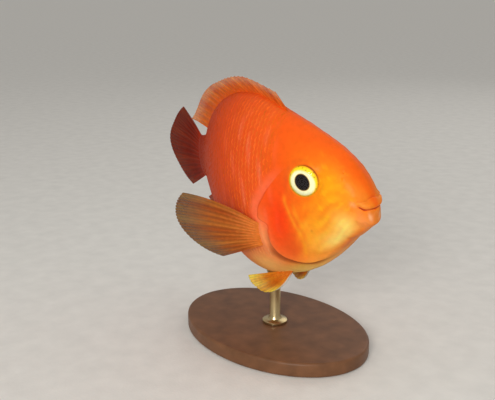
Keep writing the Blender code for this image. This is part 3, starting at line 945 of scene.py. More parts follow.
@dataclass(frozen=True)
class Finish:
    """A finish made of one Principled shader, with colour read from the points' Tone.

    Attributes:
        name: The material's name.
        roughness: How matt it is.
        subsurface: How much light goes under the surface.
        subsurface_reach: How far it goes, in mm.
        subsurface_colour: How far red, green and blue go.
        specular: How strongly it mirrors.
        coat: How strong its wet coat is.
        coat_roughness: How matt the coat is.
        grain: The size of the fine bumps, in mm.
        bump: How high they are, in mm.
        mottle: How far the colour varies.
        mottle_size: The size of the mottling, in mm.
        metallic: 1 for metal.
        see_through: Whether the points' Cover is its opacity.
    """

    name: str
    roughness: float
    subsurface: float = 0
    subsurface_reach: float = 1
    subsurface_colour: Colour = (1, 0.35, 0.15)
    specular: float = 0.5
    coat: float = 0
    coat_roughness: float = 0.1
    grain: float = 0.5
    bump: float = 0.02
    mottle: float = 0.1
    mottle_size: float = 3
    metallic: float = 0
    see_through: bool = False

    def material(self) -> bpy.types.Material:
        """Make the material: mottled colour, fine bump, and set numbers for the rest.

        Returns:
            The material.
        """
        made = bpy.data.materials.new(self.name)
        made.use_nodes = True
        tree = made.node_tree
        place = add_node(tree, "TexCoord").outputs["Object"]
        tone = add_node(tree, "Attribute", attribute_name="Tone").outputs["Color"]
        size = {"Vector": place, "Scale": 1 / (self.mottle_size * MM), "Detail": 4}
        mottling = add_node(tree, "TexNoise", size).outputs["Fac"]
        levels = {"Value": mottling, "From Min": 0.3, "From Max": 0.7}
        levels |= {"To Min": 1 - self.mottle, "To Max": 1 + self.mottle}
        light = add_node(tree, "MapRange", levels).outputs["Result"]
        painted = add_node(tree, "VectorMath", {0: tone, "Scale": light}, operation="SCALE")
        size = {"Vector": place, "Scale": 1 / (self.grain * MM), "Detail": 3}
        grain = add_node(tree, "TexNoise", size).outputs["Fac"]
        relief = add_node(tree, "Bump", {"Distance": self.bump * MM, "Height": grain})
        inputs = {
            "Base Color": painted.outputs["Vector"],
            "Normal": relief.outputs["Normal"],
            "Roughness": self.roughness,
            "Subsurface Weight": self.subsurface,
            "Subsurface Scale": self.subsurface_reach * MM,
            "Subsurface Radius": self.subsurface_colour,
            "Specular IOR Level": self.specular,
            "Coat Weight": self.coat,
            "Coat Roughness": self.coat_roughness,
            "Metallic": self.metallic,
        }
        if self.see_through:
            inputs["Alpha"] = add_node(tree, "Attribute", attribute_name="Cover").outputs["Fac"]
        wire(tree, tree.nodes["Principled BSDF"], inputs)
        return made

    def dress(self, obj: bpy.types.Object) -> None:
        """Give a piece this finish."""
        obj.data.materials.clear()
        obj.data.materials.append(self.material())


def settle(obj: bpy.types.Object, finish: Finish, nodes: list[str]) -> None:
    """Dress a piece, let it ride on the part and say which solids it stands for.

    Args:
        obj: The piece.
        finish: Its finish.
        nodes: The solids that it replaces.
    """
    finish.dress(obj)
    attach(obj, "root")
    if nodes:
        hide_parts(*nodes)
    LOG.info("%s: %d faces", obj.name, len(obj.data.polygons))


@dataclass(frozen=True)
class Skin:
    """The one skin over head, gill covers, trunk and tail stem, in mm."""

    body: Body
    face: Face
    eye: EyePlace
    colouring: Colouring
    columns: int = 320
    front_rows: int = 196
    rear_rows: int = 80
    side_crowding: float = 0.2
    front_length: float = 55.4
    tip_rows_per_root: float = 32
    face_row_step: float = 0.42
    step_change_roots: tuple[float, float] = (2.0, 3.0)
    fine_steps: int = 3000
    cover_rise_power: float = 1.5
    rear_growth: float = 0.25
    fold: tuple = (
        (0.35, 1.55),
        (0.55, 1.2),
        (0.5, 0.8),
        (0.1, 0.45),
        (-0.8, 0.15),
        (-1.8, -0.25),
        (-2.2, -0.6),
        (-1.6, -0.95),
        (0.0, -0.75),
        (2.0, -0.35),
        (4.5, 0.0),
    )
    rim_level_reach: float = 2.6
    brow: float = 0.8
    brow_turn: float = 50
    brow_half: float = 55
    rim_gather: float = 0.75
    rim_reach: float = 2.2
    socket_depth: float = 4.5
    socket_span: float = 14
    lid_half: float = 0.5
    lid_span: float = 9
    # Painted shadow of the socket under the brow, with a dark line along the rim.
    brow_line_and_shadow: Colour = (0.25, 0.015, 0.004)
    lid_orange: Colour = (0.95, 0.30, 0.01)
    # Painted shade: the mouth's slit darkens to this red by its depth, over its own red inside.
    mouth_shade_red: Colour = (0.55, 0.07, 0.02)
    mouth_end: float = 5.5
    mouth_shade_from: float = 0.35
    mouth_shade_over: float = 0.5
    finish: Finish = Finish(
        "skin",
        roughness=0.5,
        subsurface=0.2,
        subsurface_reach=1.6,
        specular=0.09,
        coat=0.05,
        coat_roughness=0.25,
        grain=0.55,
        bump=0.03,
        mottle=0.05,
        mottle_size=2.8,
    )

    def front_shares(self) -> Array:
        """Space the rows ahead of the gill covers' edge.

        Rows are even in the square root of the station at the snout and even in the station
        from the face on. Their number is summed along a fine line and read back evenly.

        Returns:
            Shares of the way from the snout's tip to the edge, the last of them 1.
        """
        root = np.linspace(0, math.sqrt(self.front_length), self.fine_steps)
        even = ease(root, *self.step_change_roots)
        density = self.tip_rows_per_root * (1 - even) + even * 2 * root / self.face_row_step
        count = np.concatenate([[0], np.cumsum((density[1:] + density[:-1]) / 2 * np.diff(root))])
        share = np.arange(1, self.front_rows + 1) / self.front_rows
        return np.interp(share, count / count[-1], root) ** 2 / self.front_length

    def grid(self) -> tuple[Array, Array, Array]:
        """Lay out the skin's rows and columns.

        Columns crowd at the sides: angle = t minus a share of the sine of 2 t. Rows follow the
        gill covers' edge, to which the covers rise by a power of the way from their front
        crease. They tuck under it along the fold's steps and run on to the tail, at distances
        that grow evenly.

        Returns:
            The station, angle and fold lift of every point, rows by columns.
        """
        t = np.linspace(0, 2 * np.pi, self.columns, endpoint=False)
        angle = t - self.side_crowding * np.sin(2 * t)
        degrees = side_degrees(angle)
        edge = self.face.rear_edge(degrees)
        free = self.face.cover_share(degrees)
        first = self.body.stations[0]
        front = first + (edge - first) * self.front_shares()[:, None]
        crease = self.face.front_edge(degrees)
        rise = np.clip((front - crease) / (edge - crease), 0, 1) ** self.cover_rise_power
        front_lift = self.face.cover_step * rise * free
        steps = np.array(self.fold)
        even = np.linspace(0, steps[-1, 0], len(steps) + 1)[1:, None]
        fold = edge + steps[:, :1] * free + even * (1 - free)
        fold_lift = steps[:, 1:] * free
        share = np.linspace(0, 1, self.rear_rows + 1)[1:, None]
        start = edge + steps[-1, 0]
        growing = (1 - self.rear_growth) * share + self.rear_growth * share**2
        rear = start + (self.body.length - start) * growing
        station = np.concatenate([front, fold, rear])
        lift = np.concatenate([front_lift, fold_lift, np.zeros(rear.shape)])
        return station, np.broadcast_to(angle, station.shape), lift

    def sockets(self, points: Array, outward: Array) -> Array:
        """Gather the skin at the eyes' rims and sink it inside them.

        A point at distance r from the eye's middle is drawn towards the rim's radius R, by
        (r - R) times a bump over the rim, and along the eye's axis to the level of the rim,
        which has a low brow above and in front. Inside R the skin dives along that axis.

        Args:
            points: The skin's points.
            outward: The skin's outward directions there.

        Returns:
            The moved points.
        """
        forward, up, out = self.eye.axes()[1:]
        ahead, above, off = self.eye.inside(points)
        away = np.hypot(ahead, above)
        near = np.abs(off) < self.socket_span
        rim = self.eye.rim
        pull = -self.rim_gather * (away - rim) * bump(away, rim, self.rim_reach) * near
        direction = ahead[..., None] * forward + above[..., None] * up
        hand = np.ones_like(points)
        hand[points[..., 1] < 0, 1] = -1
        direction = direction / np.maximum(away, 1e-6)[..., None] * hand
        direction = direction - outward * np.sum(direction * outward, -1, keepdims=True)
        moved = points + direction * pull[..., None]
        ahead, above, off = self.eye.inside(moved)
        away = np.hypot(ahead, above)
        brow = self.brow * self.at_brow(ahead, above)
        level = (brow - off) * bump(away, rim, self.rim_level_reach) * near
        dive = self.socket_depth * ease(rim - away, -0.02, 0.4) * near
        return moved + out * hand * (level - dive)[..., None]

    def at_brow(self, ahead: Array, above: Array) -> Array:
        """How near each direction from an eye's middle is to the brow's: 1 there."""
        turn = np.degrees(np.arctan2(above, ahead))
        return bump(degrees_from(turn, self.brow_turn), 0, self.brow_half)

    def paint(self, station: Array, angle: Array, lift: Array, points: Array) -> Array:
        """Colour the skin, with the mouth's inside and the eyes' rims.

        The mouth is darkened to red by how deep the skin lies there: its own red inside with
        painted shade in the slit. The rims carry a dark line and a painted shadow of the socket
        under the brow, and are orange away from it.

        Args:
            station: Distances behind the snout.
            angle: Angles round the body, in radians.
            lift: How far each point stands off the bare body.
            points: The skin's points.

        Returns:
            The linear colours.
        """
        degrees = side_degrees(angle)
        past = station - self.face.rear_edge(degrees)
        tone = self.colouring.shaded(self.colouring.tone(station, angle), past, degrees)
        # Painted shade in the mouth's slit: deeper skin is darker red, over the mouth's own red.
        mouth = np.clip(-(lift + self.mouth_shade_from) / self.mouth_shade_over, 0, 1)
        tone = blend(tone, self.mouth_shade_red, mouth * (station < self.mouth_end))
        ahead, above, off = self.eye.inside(points)
        under_brow = self.at_brow(ahead, above)
        away = np.hypot(ahead, above)
        rim = bump(away, self.eye.rim, self.lid_half) * (np.abs(off) < self.lid_span)
        # Painted shadow of the socket with its dark line under the brow; orange elsewhere on the rim.
        tone = blend(tone, self.brow_line_and_shadow, 0.95 * under_brow * rim)
        return blend(tone, self.lid_orange, 0.5 * (1 - under_brow) * rim)

    def build(self) -> bpy.types.Object:
        """Make the skin and stand it in for the fish's solids of flesh.

        Returns:
            The skin.
        """
        station, angle, fold = self.grid()
        outward = self.body.outward(station, angle)
        lift = self.face.lift(station, angle) + fold
        points = self.body.section(station, angle) + outward * lift[..., None]
        points = self.sockets(points, outward)
        tone = self.paint(station, angle, lift, points)[None]
        world = self.body.world(points)[None]
        obj = Loft(world, Ends.POINT, tone, even_unwrap(world.shape[:3])).build("skin")
        flesh = ["head", "trunk", "tail_stem", "gill_cover_left", "gill_cover_right"]
        settle(obj, self.finish, flesh)
        return obj


@dataclass(frozen=True)
class Scales:
    """The overlapping scales of one side's flank, in mm."""

    body: Body
    face: Face
    colouring: Colouring
    side: Side
    first: float = 43
    last: float = 147
    exposed: float = 2.25
    height: float = 3.0
    overlap: float = 1.8
    thickness: float = 0.05
    root_sink: float = 0.09
    rear_lift: float = 0.03
    stem_shrink: tuple[float, float, float] = (0.42, 100, 150)
    side_overlap: float = 1.12
    behind_share: float = 0.35
    rear_rounding: float = 0.16
    root_narrowing: float = 0.25
    rear_narrowing: float = 0.12
    arching: float = 0.03
    clear_of_cover: tuple[float, float] = (2.3, 2.6)
    back_from: float = 34
    bare_limit: float = 0.6
    unevenness: tuple[float, float, float] = (0.015, 0.01, 0.05)
    seed: int = 7
    across: int = 7
    outward: int = 4
    patch_half: float = 0.0015
    sharp_above: float = 50
    finish: Finish = Finish(
        "scales",
        roughness=0.46,
        subsurface=0.2,
        subsurface_reach=1.4,
        specular=0.0,
        coat=0.03,
        coat_roughness=0.35,
        grain=0.4,
        bump=0.02,
        mottle=0.08,
        mottle_size=1.6,
    )

    def layout(self) -> tuple[Array, Array, Array, Array]:
        """Place the scales' middles in staggered columns of even height.

        At each column's station the length round the section is summed from the widest line,
        and the rows are read from it at even distances, half a row on in every other column.

        Returns:
            The scales' stations, side angles, lengths and the angle that 1 mm spans there.
        """
        stations, angles, lengths, slopes = [], [], [], []
        sweep = np.radians(np.linspace(-89, 89, 357))
        station = self.first
        column = 0
        while station < self.last:
            shrink, start, end = self.stem_shrink
            size = 1 - shrink * ease(np.array(station), start, end)
            section = self.body.section(np.array(station), sweep)
            run = np.concatenate([[0], np.cumsum(np.linalg.norm(np.diff(section, axis=0), axis=-1))])
            run -= np.interp(0, sweep, run)
            row = self.height * size
            low, high = math.ceil(run[0] / row), math.floor(run[-1] / row)
            arcs = (np.arange(low, high + 1) + 0.5 * (column % 2)) * row
            arcs = arcs[(arcs > run[0] + 0.5) & (arcs < run[-1] - 0.5)]
            found = np.interp(arcs, run, sweep)
            per_mm = np.gradient(sweep, run)
            stations.append(np.full(len(found), station))
            angles.append(found)
            lengths.append(np.full(len(found), size))
            slopes.append(np.interp(arcs, run, per_mm))
            station += self.exposed * size
            column += 1
        return tuple(np.concatenate(x) for x in (stations, angles, lengths, slopes))

    def bareness(self, station: Array, degrees: Array) -> Array:
        """Find how bare the skin is: behind the head, on the belly and round the fin's root.

        Args:
            station: Distances behind the snout.
            degrees: How far above the widest line.

        Returns:
            0 where the scales are full, 1 where there are none.
        """
        belly = (1 - ease(degrees, -50, -34)) * (1 - ease(station, 76, 92))
        fin_root = bump(station, 61, 6) * bump(degrees, -26, 13)
        past = station - self.face.rear_edge(degrees)
        behind_cover = 0.5 * (1 - ease(past, 2, 9)) * (1 - ease(degrees, 20, 40))
        return np.maximum.reduce([1 - ease(station, 43, 55), belly, fin_root, behind_cover])

    def plates(
        self, seat: list[Array], bare: Array, tilt: Array, proud: Array
    ) -> tuple[Array, Array, Array]:
        """Shape the scales' upper faces.

        A scale reaches back from its root by t = 0 to 1 and to its sides by v = -1 to 1. Its
        rear edge is rounded by a share of v squared, its width is narrower by shares of
        (1 - t) squared and t cubed, and it rises from under the skin by t to the power 1.3.

        Args:
            seat: The scales' stations, side angles, lengths and the angles that 1 mm spans.
            bare: How bare the skin is there.
            tilt: How far each is tilted to its side.
            proud: How much further each stands up.

        Returns:
            The stations, side angles and lifts of their points.
        """
        station, angle, size, per_mm = seat
        t = np.linspace(0, 1, self.outward)[None, :, None]
        v = np.linspace(-1, 1, self.across)[None, None, :]
        length = self.exposed * self.overlap * size
        along = station + length * (t * (1 - self.rear_rounding * v**2) - self.behind_share)
        narrow = 1 - self.root_narrowing * (1 - t) ** 2 - self.rear_narrowing * t**3
        around = angle + per_mm * (self.height * self.side_overlap / 2 * size) * v * narrow
        rise = self.root_sink + (self.rear_lift + proud) * (1 - 0.5 * bare)
        lift = (rise * t**1.3 - self.root_sink) * size
        return along, around, lift + tilt * v * t - self.arching * v**2 * (1 - t)

    def paint(self, along: Array, around: Array, bare: Array, vary: Array) -> Array:
        """Colour the scales: rear rims paler, partly painted highlight; roots darker by painted shade.

        Args:
            along: The stations of their points.
            around: The side angles.
            bare: How bare the skin is at each scale.
            vary: How much lighter or darker each scale is.

        Returns:
            The linear colours.
        """
        tone = self.colouring.tone(along, around)
        t = np.linspace(0, 1, self.outward)[None, :, None]
        # Painted highlight on the rear rims over their own paler pink, less of it towards the tail.
        pale = tone * np.array([1.2, 2.2, 3.2]) + np.array([0.05, 0.018, 0.012])
        flank = ease(along, 30, 76) * (1 - 0.4 * ease(along, 80, 110))
        rim = 0.55 * ease(t, 0.55, 0.95) * (1 - bare) * flank
        tone = blend(tone, np.clip(pale, 0, 0.98), rim)
        # Painted shade at the roots, where the scale ahead lies over them.
        root = 0.15 * (1 - ease(t, 0.35, 0.75)) * (1 - bare)
        tone = tone * (1 - root[..., None]) * (1 + (vary * (1 - bare))[..., None])
        degrees = np.degrees(around)
        return self.colouring.shaded(tone, along - self.face.rear_edge(degrees), degrees)

    def unwrap(self, station: Array, angle: Array) -> Array:
        """Lay the scales flat, each as a small patch at its own place on the flank.

        Args:
            station: The scales' stations.
            angle: Their side angles.

        Returns:
            The flat places of their corners.
        """
        u = 0.02 + 0.96 * (angle + np.pi / 2) / np.pi
        v = 0.02 + 0.96 * (station - self.first) / (self.last + 3 - self.first)
        patch_u = np.linspace(-self.patch_half, self.patch_half, 2 * self.across + 1)[None, None, :]
        patch_v = np.linspace(-self.patch_half, self.patch_half, self.outward)[None, :, None]
        return np.stack(np.broadcast_arrays(u + patch_u, v + patch_v), -1)

    def build(self) -> bpy.types.Object:
        """Make all scales of the side as one piece.

        They lie on the face's relief and follow the skin's dip behind the gill covers' edge.
        None is where the skin is bare or close behind that edge, except over the back.

        Returns:
            The scales.
        """
        station, angle, size, per_mm = self.layout()
        degrees = np.degrees(angle)
        bare = self.bareness(station, degrees)
        clear, more_above = self.clear_of_cover
        start = self.face.rear_edge(degrees) + clear + more_above * ease(degrees, -4, 4)
        shown = ((station > start) | (degrees > self.back_from)) & (bare < self.bare_limit)
        seat = [x[shown][:, None, None] for x in (station, angle, size, per_mm)]
        bare = bare[shown][:, None, None]
        random = np.random.default_rng(self.seed)
        tilt, proud, vary = (random.normal(0, width, bare.shape) for width in self.unevenness)
        along, around, lift = self.plates(seat, bare, tilt, proud)
        past = along - self.face.rear_edge(np.degrees(around))
        dip = np.interp(past, *np.array(Skin.fold[-3:]).T)
        free = self.face.cover_share(np.degrees(around))
        lift = lift + self.face.lift(along, around) + dip * free
        thinning = 1 - 0.5 * np.linspace(0, 1, self.outward)[None, :, None]
        top = self.body.lifted(along, around, lift)
        bottom = self.body.lifted(along, around, lift - self.thickness * thinning)
        points = self.side.turned(np.concatenate([top, bottom[:, :, ::-1]], 2))
        tone = np.clip(self.paint(along, around, bare, vary), 0, 1)
        tone = np.concatenate([tone, tone[:, :, ::-1]], 2)
        loft = Loft(self.body.world(points), Ends.STRIP, tone, self.unwrap(*seat[:2]))
        obj = loft.build("scales_" + self.side.word)
        obj.data.set_sharp_from_angle(angle=math.radians(self.sharp_above))
        settle(obj, self.finish, [])
        return obj


@dataclass(frozen=True)
class Eye:
    """An eye: a painted ball under a clear, bulging cornea, in mm."""

    body: Body
    place: EyePlace
    side: Side
    iris: tuple[float, float] = (8.6, 3.6)
    cornea: tuple[float, float] = (8.8, 4.8)
    pupil_radius: float = 3.95
    pupil_middle: tuple[float, float] = (-0.15, -0.3)
    pupil_oval: tuple[float, float] = (0.3, 118)
    ring_width: tuple[float, float] = (2.7, 1.2)
    columns: int = 168
    rows: int = 110
    row_crowding: float = 0.12
    field_yellow: Colour = (1.0, 0.78, 0.01)
    ring_cream: Colour = (1.0, 1.0, 0.66)
    edge_orange: Colour = (1.0, 0.58, 0.02)
    front_orange: Colour = (1.0, 0.40, 0.005)
    # Painted shadow of the socket on the iris's edge above and in front, with a dark line.
    front_line_and_shadow: Colour = (0.22, 0.02, 0.004)
    fleck_brown: Colour = (0.35, 0.10, 0.01)
    margin_gold: Colour = (0.75, 0.42, 0.05)
    pupil_black: Colour = (0.010, 0.006, 0.007)
    cornea_ior: float = 1.25
    cornea_roughness: float = 0.05
    finish: Finish = Finish(
        "iris",
        roughness=0.45,
        specular=0.15,
        grain=0.35,
        bump=0.03,
        mottle=0.06,
        mottle_size=0.9,
    )

    def ball(self, radius: float, half_depth: float) -> tuple[Array, Array, Array]:
        """Turn a flattened ball about the eye's axis, so deep that its surface is level at the rim.

        Args:
            radius: Its radius in the eye's plane.
            half_depth: Its half depth along the axis.

        Returns:
            The points, and each one's distances forward and up from the axis.
        """
        place, forward, up, out = self.place.axes()
        down = np.linspace(0, np.pi, self.rows + 2)[1:-1, None]
        down = down - self.row_crowding * np.sin(2 * down)
        turn = np.linspace(0, 2 * np.pi, self.columns, endpoint=False)[None, :]
        ahead = radius * np.sin(down) * np.cos(turn)
        above = radius * np.sin(down) * np.sin(turn)
        middle = -half_depth * math.sqrt(1 - (self.place.rim / radius) ** 2)
        depth = middle + half_depth * np.cos(down) + 0 * turn
        points = place + ahead[..., None] * forward + above[..., None] * up + depth[..., None] * out
        return points, ahead, above

    def paint(self, ahead: Array, above: Array) -> Array:
        """Paint the iris by distance and direction from the pupil's middle.

        A dark pupil, an oval that leans forward as it goes down, a pale ring that is narrowest
        above, a yellow field with a few dark flecks, and an orange edge above and in front, with
        a dark line and painted shadow of the socket at its rim there.

        Args:
            ahead: Distances forward of the eye's middle.
            above: Distances above it.

        Returns:
            The linear colours.
        """
        edge = np.hypot(ahead, above)
        turn = np.degrees(np.arctan2(above, ahead))
        front = bump(degrees_from(turn, 45), 0, 60)
        ahead, above = ahead - self.pupil_middle[0], above - self.pupil_middle[1]
        away = np.hypot(ahead, above)
        turn = np.degrees(np.arctan2(above, ahead))
        oval, lean = self.pupil_oval
        pupil = self.pupil_radius + oval * np.cos(np.radians(2 * (turn - lean)))
        wide, narrowing = self.ring_width
        ring = pupil + wide - narrowing * bump(degrees_from(turn, 80), 0, 60)
        tone = np.ones((*away.shape, 3)) * np.array(self.field_yellow)
        tone = blend(tone, self.ring_cream, 1 - ease(away - ring, -0.6, 0.6))
        tone = blend(tone, self.edge_orange, 0.85 * ease(edge, 7.0, 7.6) * (1 - front))
        tone = blend(tone, self.front_orange, ease(edge, 6.8, 7.3) * front)
        # Painted shadow of the socket at the upper-front edge, with a dark line.
        tone = blend(tone, self.front_line_and_shadow, 0.95 * ease(edge, 7.3, 7.55) * front)
        waves = np.sin(np.radians(11 * turn + 30)) * np.sin(2.3 * away + np.radians(5 * turn))
        flecks = 0.6 * ease(waves, 0.6, 0.95) * ease(away - ring, 0, 0.6)
        tone = blend(tone, self.fleck_brown, flecks)
        tone = blend(tone, self.margin_gold, 1 - ease(away - pupil, 0.05, 0.35))
        return blend(tone, self.pupil_black, 1 - ease(away - pupil, -0.15, 0.1))

    def cornea_material(self) -> bpy.types.Material:
        """Make the clear cornea: it mirrors by Fresnel and shows what is behind it.

        Returns:
            The material.
        """
        made = bpy.data.materials.new("cornea")
        made.use_nodes = True
        tree = made.node_tree
        tree.nodes.clear()
        share = add_node(tree, "Fresnel", {"IOR": self.cornea_ior}).outputs["Fac"]
        clear = add_node(tree, "BsdfTransparent").outputs["BSDF"]
        gloss = add_node(tree, "BsdfGlossy", {"Roughness": self.cornea_roughness}).outputs["BSDF"]
        mix = add_node(tree, "MixShader", {"Fac": share, 1: clear, 2: gloss}).outputs["Shader"]
        add_node(tree, "OutputMaterial", {"Surface": mix})
        return made

    def build(self) -> None:
        """Make the painted ball and its cornea, and stand them in for the solid eye."""
        word = self.side.word
        points, ahead, above = self.ball(*self.iris)
        world = self.body.world(self.side.turned(points))[None]
        unwrap = even_unwrap(world.shape[:3])
        ball = Loft(world, Ends.POINT, self.paint(ahead, above)[None], unwrap).build("eye_ball_" + word)
        settle(ball, self.finish, ["eye_" + word])
        world = self.body.world(self.side.turned(self.ball(*self.cornea)[0]))[None]
        cornea = Loft(world, Ends.POINT, np.ones(world.shape), unwrap).build("cornea_" + word)
        cornea.data.materials.append(self.cornea_material())
        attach(cornea, "root")
        LOG.info("%s: %d faces", cornea.name, len(cornea.data.polygons))


@dataclass(frozen=True)
class FinShape:
    """A fin's sizes, in mm and degrees. Each list runs from its first ray to its last.

    Attributes:
        name: The solid that it replaces.
        rays: How many rays it has.
        length: The rays' lengths.
        rise: The rays' angles above level.
        tip_lift: How far the tips are lifted off the rays' lines.
        notch: How far the membrane falls short of the tips, as a share.
        stations: Where the root's ends are along the body.
        angles: The root's ends in degrees above the widest line.
        out: How far it stands out from the body.
        cup: How far its tips curl back in.
        upright: Whether its root runs up the body rather than along it.
        on_stem: Whether its root is the tail stem's end.
        spines: The share of its rays that are unbranched spines.
        root_tone: Its linear colour at the root.
        middle_tone: Its colour halfway out.
        tip_tone: Its colour at the tips.
        ray_shade: How much darker than the rays the membrane is.
        cover: How much root, middle and tip cover what is behind them.
        ray_cover: How much more the rays cover.
        edge_tone: The colour of its first ray.
        edge_rays: How many rays that colour reaches over.
    """

    name: str
    rays: int
    length: tuple
    rise: tuple
    root_tone: Colour
    middle_tone: Colour
    tip_tone: Colour
    tip_lift: tuple = (0, 0)
    notch: tuple = (0.05, 0.03)
    stations: tuple = (0, 0)
    angles: tuple = (90, 90)
    out: float = 0
    cup: float = 0
    upright: bool = False
    on_stem: bool = False
    spines: float = 0
    ray_shade: float = 0.3
    cover: tuple = (1.0, 0.85, 0.6)
    ray_cover: float = 0.35
    edge_tone: Colour | None = None
    edge_rays: float = 1.0


DORSAL = FinShape(
    name="dorsal_fin",
    rays=25,
    length=(14, 19, 19, 23, 30),
    rise=(52, 37, 24, 18, 12),
    tip_lift=(-0.5, -1, -1, -1.5, -2),
    notch=(0.02, 0.02, 0.02, 0.02, 0.02),
    stations=(53, 132.5),
    spines=0.6,
    root_tone=(0.74, 0.10, 0.008),
    middle_tone=(0.68, 0.13, 0.014),
    tip_tone=(0.72, 0.22, 0.050),
    ray_shade=0.13,
    cover=(1.0, 0.98, 0.78),
    ray_cover=0.1,
)
ANAL = FinShape(
    name="anal_fin",
    rays=13,
    length=(7, 13, 17, 20, 22),
    rise=(-62, -56, -48, -40, -32),
    tip_lift=(0.5, 1, 1, 1.5, 2),
    notch=(0.03, 0.02, 0.02, 0.02, 0.02),
    stations=(104, 133),
    angles=(-90, -90),
    spines=0.4,
    root_tone=(0.46, 0.040, 0.006),
    middle_tone=(0.34, 0.030, 0.005),
    tip_tone=(0.32, 0.045, 0.010),
    ray_shade=0.25,
    cover=(1.0, 1.0, 0.92),
    ray_cover=0.08,
)
TAIL = FinShape(
    name="tail_fin",
    rays=15,
    length=(24, 35, 43, 36, 27),
    rise=(-24, -8, 8, 24, 40),
    notch=(0.01, 0.015, 0.015, 0.015, 0.01),
    on_stem=True,
    # Dark tones: the tail's own deep red with painted shade over it.
    root_tone=(0.36, 0.024, 0.004),
    middle_tone=(0.19, 0.013, 0.003),
    tip_tone=(0.18, 0.020, 0.005),
    ray_shade=0.25,
    cover=(1.0, 1.0, 0.95),
    ray_cover=0.05,
)
PECTORAL_OUT = {Side.LEFT: 34, Side.RIGHT: 40}
PECTORALS = {
    side: FinShape(
        name="pectoral_fin_" + side.word,
        rays=13,
        length=(52, 51, 46, 37, 26),
        rise=(38, 25, 11, -2, -15),
        tip_lift=(-13, -8, -3, -1, 0),
        notch=(0.01, 0.02, 0.02, 0.02, 0.02),
        stations=(61, 62.5),
        angles=(-18, -33),
        out=PECTORAL_OUT[side],
        cup=3,
        upright=True,
        root_tone=(0.76, 0.20, 0.030),
        middle_tone=(0.44, 0.110, 0.017),
        tip_tone=(0.20, 0.085, 0.018),
        ray_shade=0.28,
        cover=(1.0, 1.0, 0.9),
        ray_cover=0.06,
    )
    for side in Side
}
PELVICS = {
    side: FinShape(
        name="pelvic_fin_" + side.word,
        rays=6,
        length=(21, 27, 27, 26, 24),
        rise=(-62, -48, -35, -24, -13),
        tip_lift=(7, 5, 3, 1, 0),
        notch=(0.02, 0.03, 0.04, 0.04, 0.02),
        stations=(55, 62.5),
        angles=(-71, -71),
        out=16,
        root_tone=(0.72, 0.17, 0.014),
        middle_tone=(0.62, 0.17, 0.009),
        tip_tone=(0.82, 0.54, 0.070),
        ray_shade=0.04,
        cover=(1.0, 1.0, 0.9),
        ray_cover=0.1,
        edge_tone=(0.62, 0.62, 0.55),
        edge_rays=0.5,
    )
    for side in Side
}


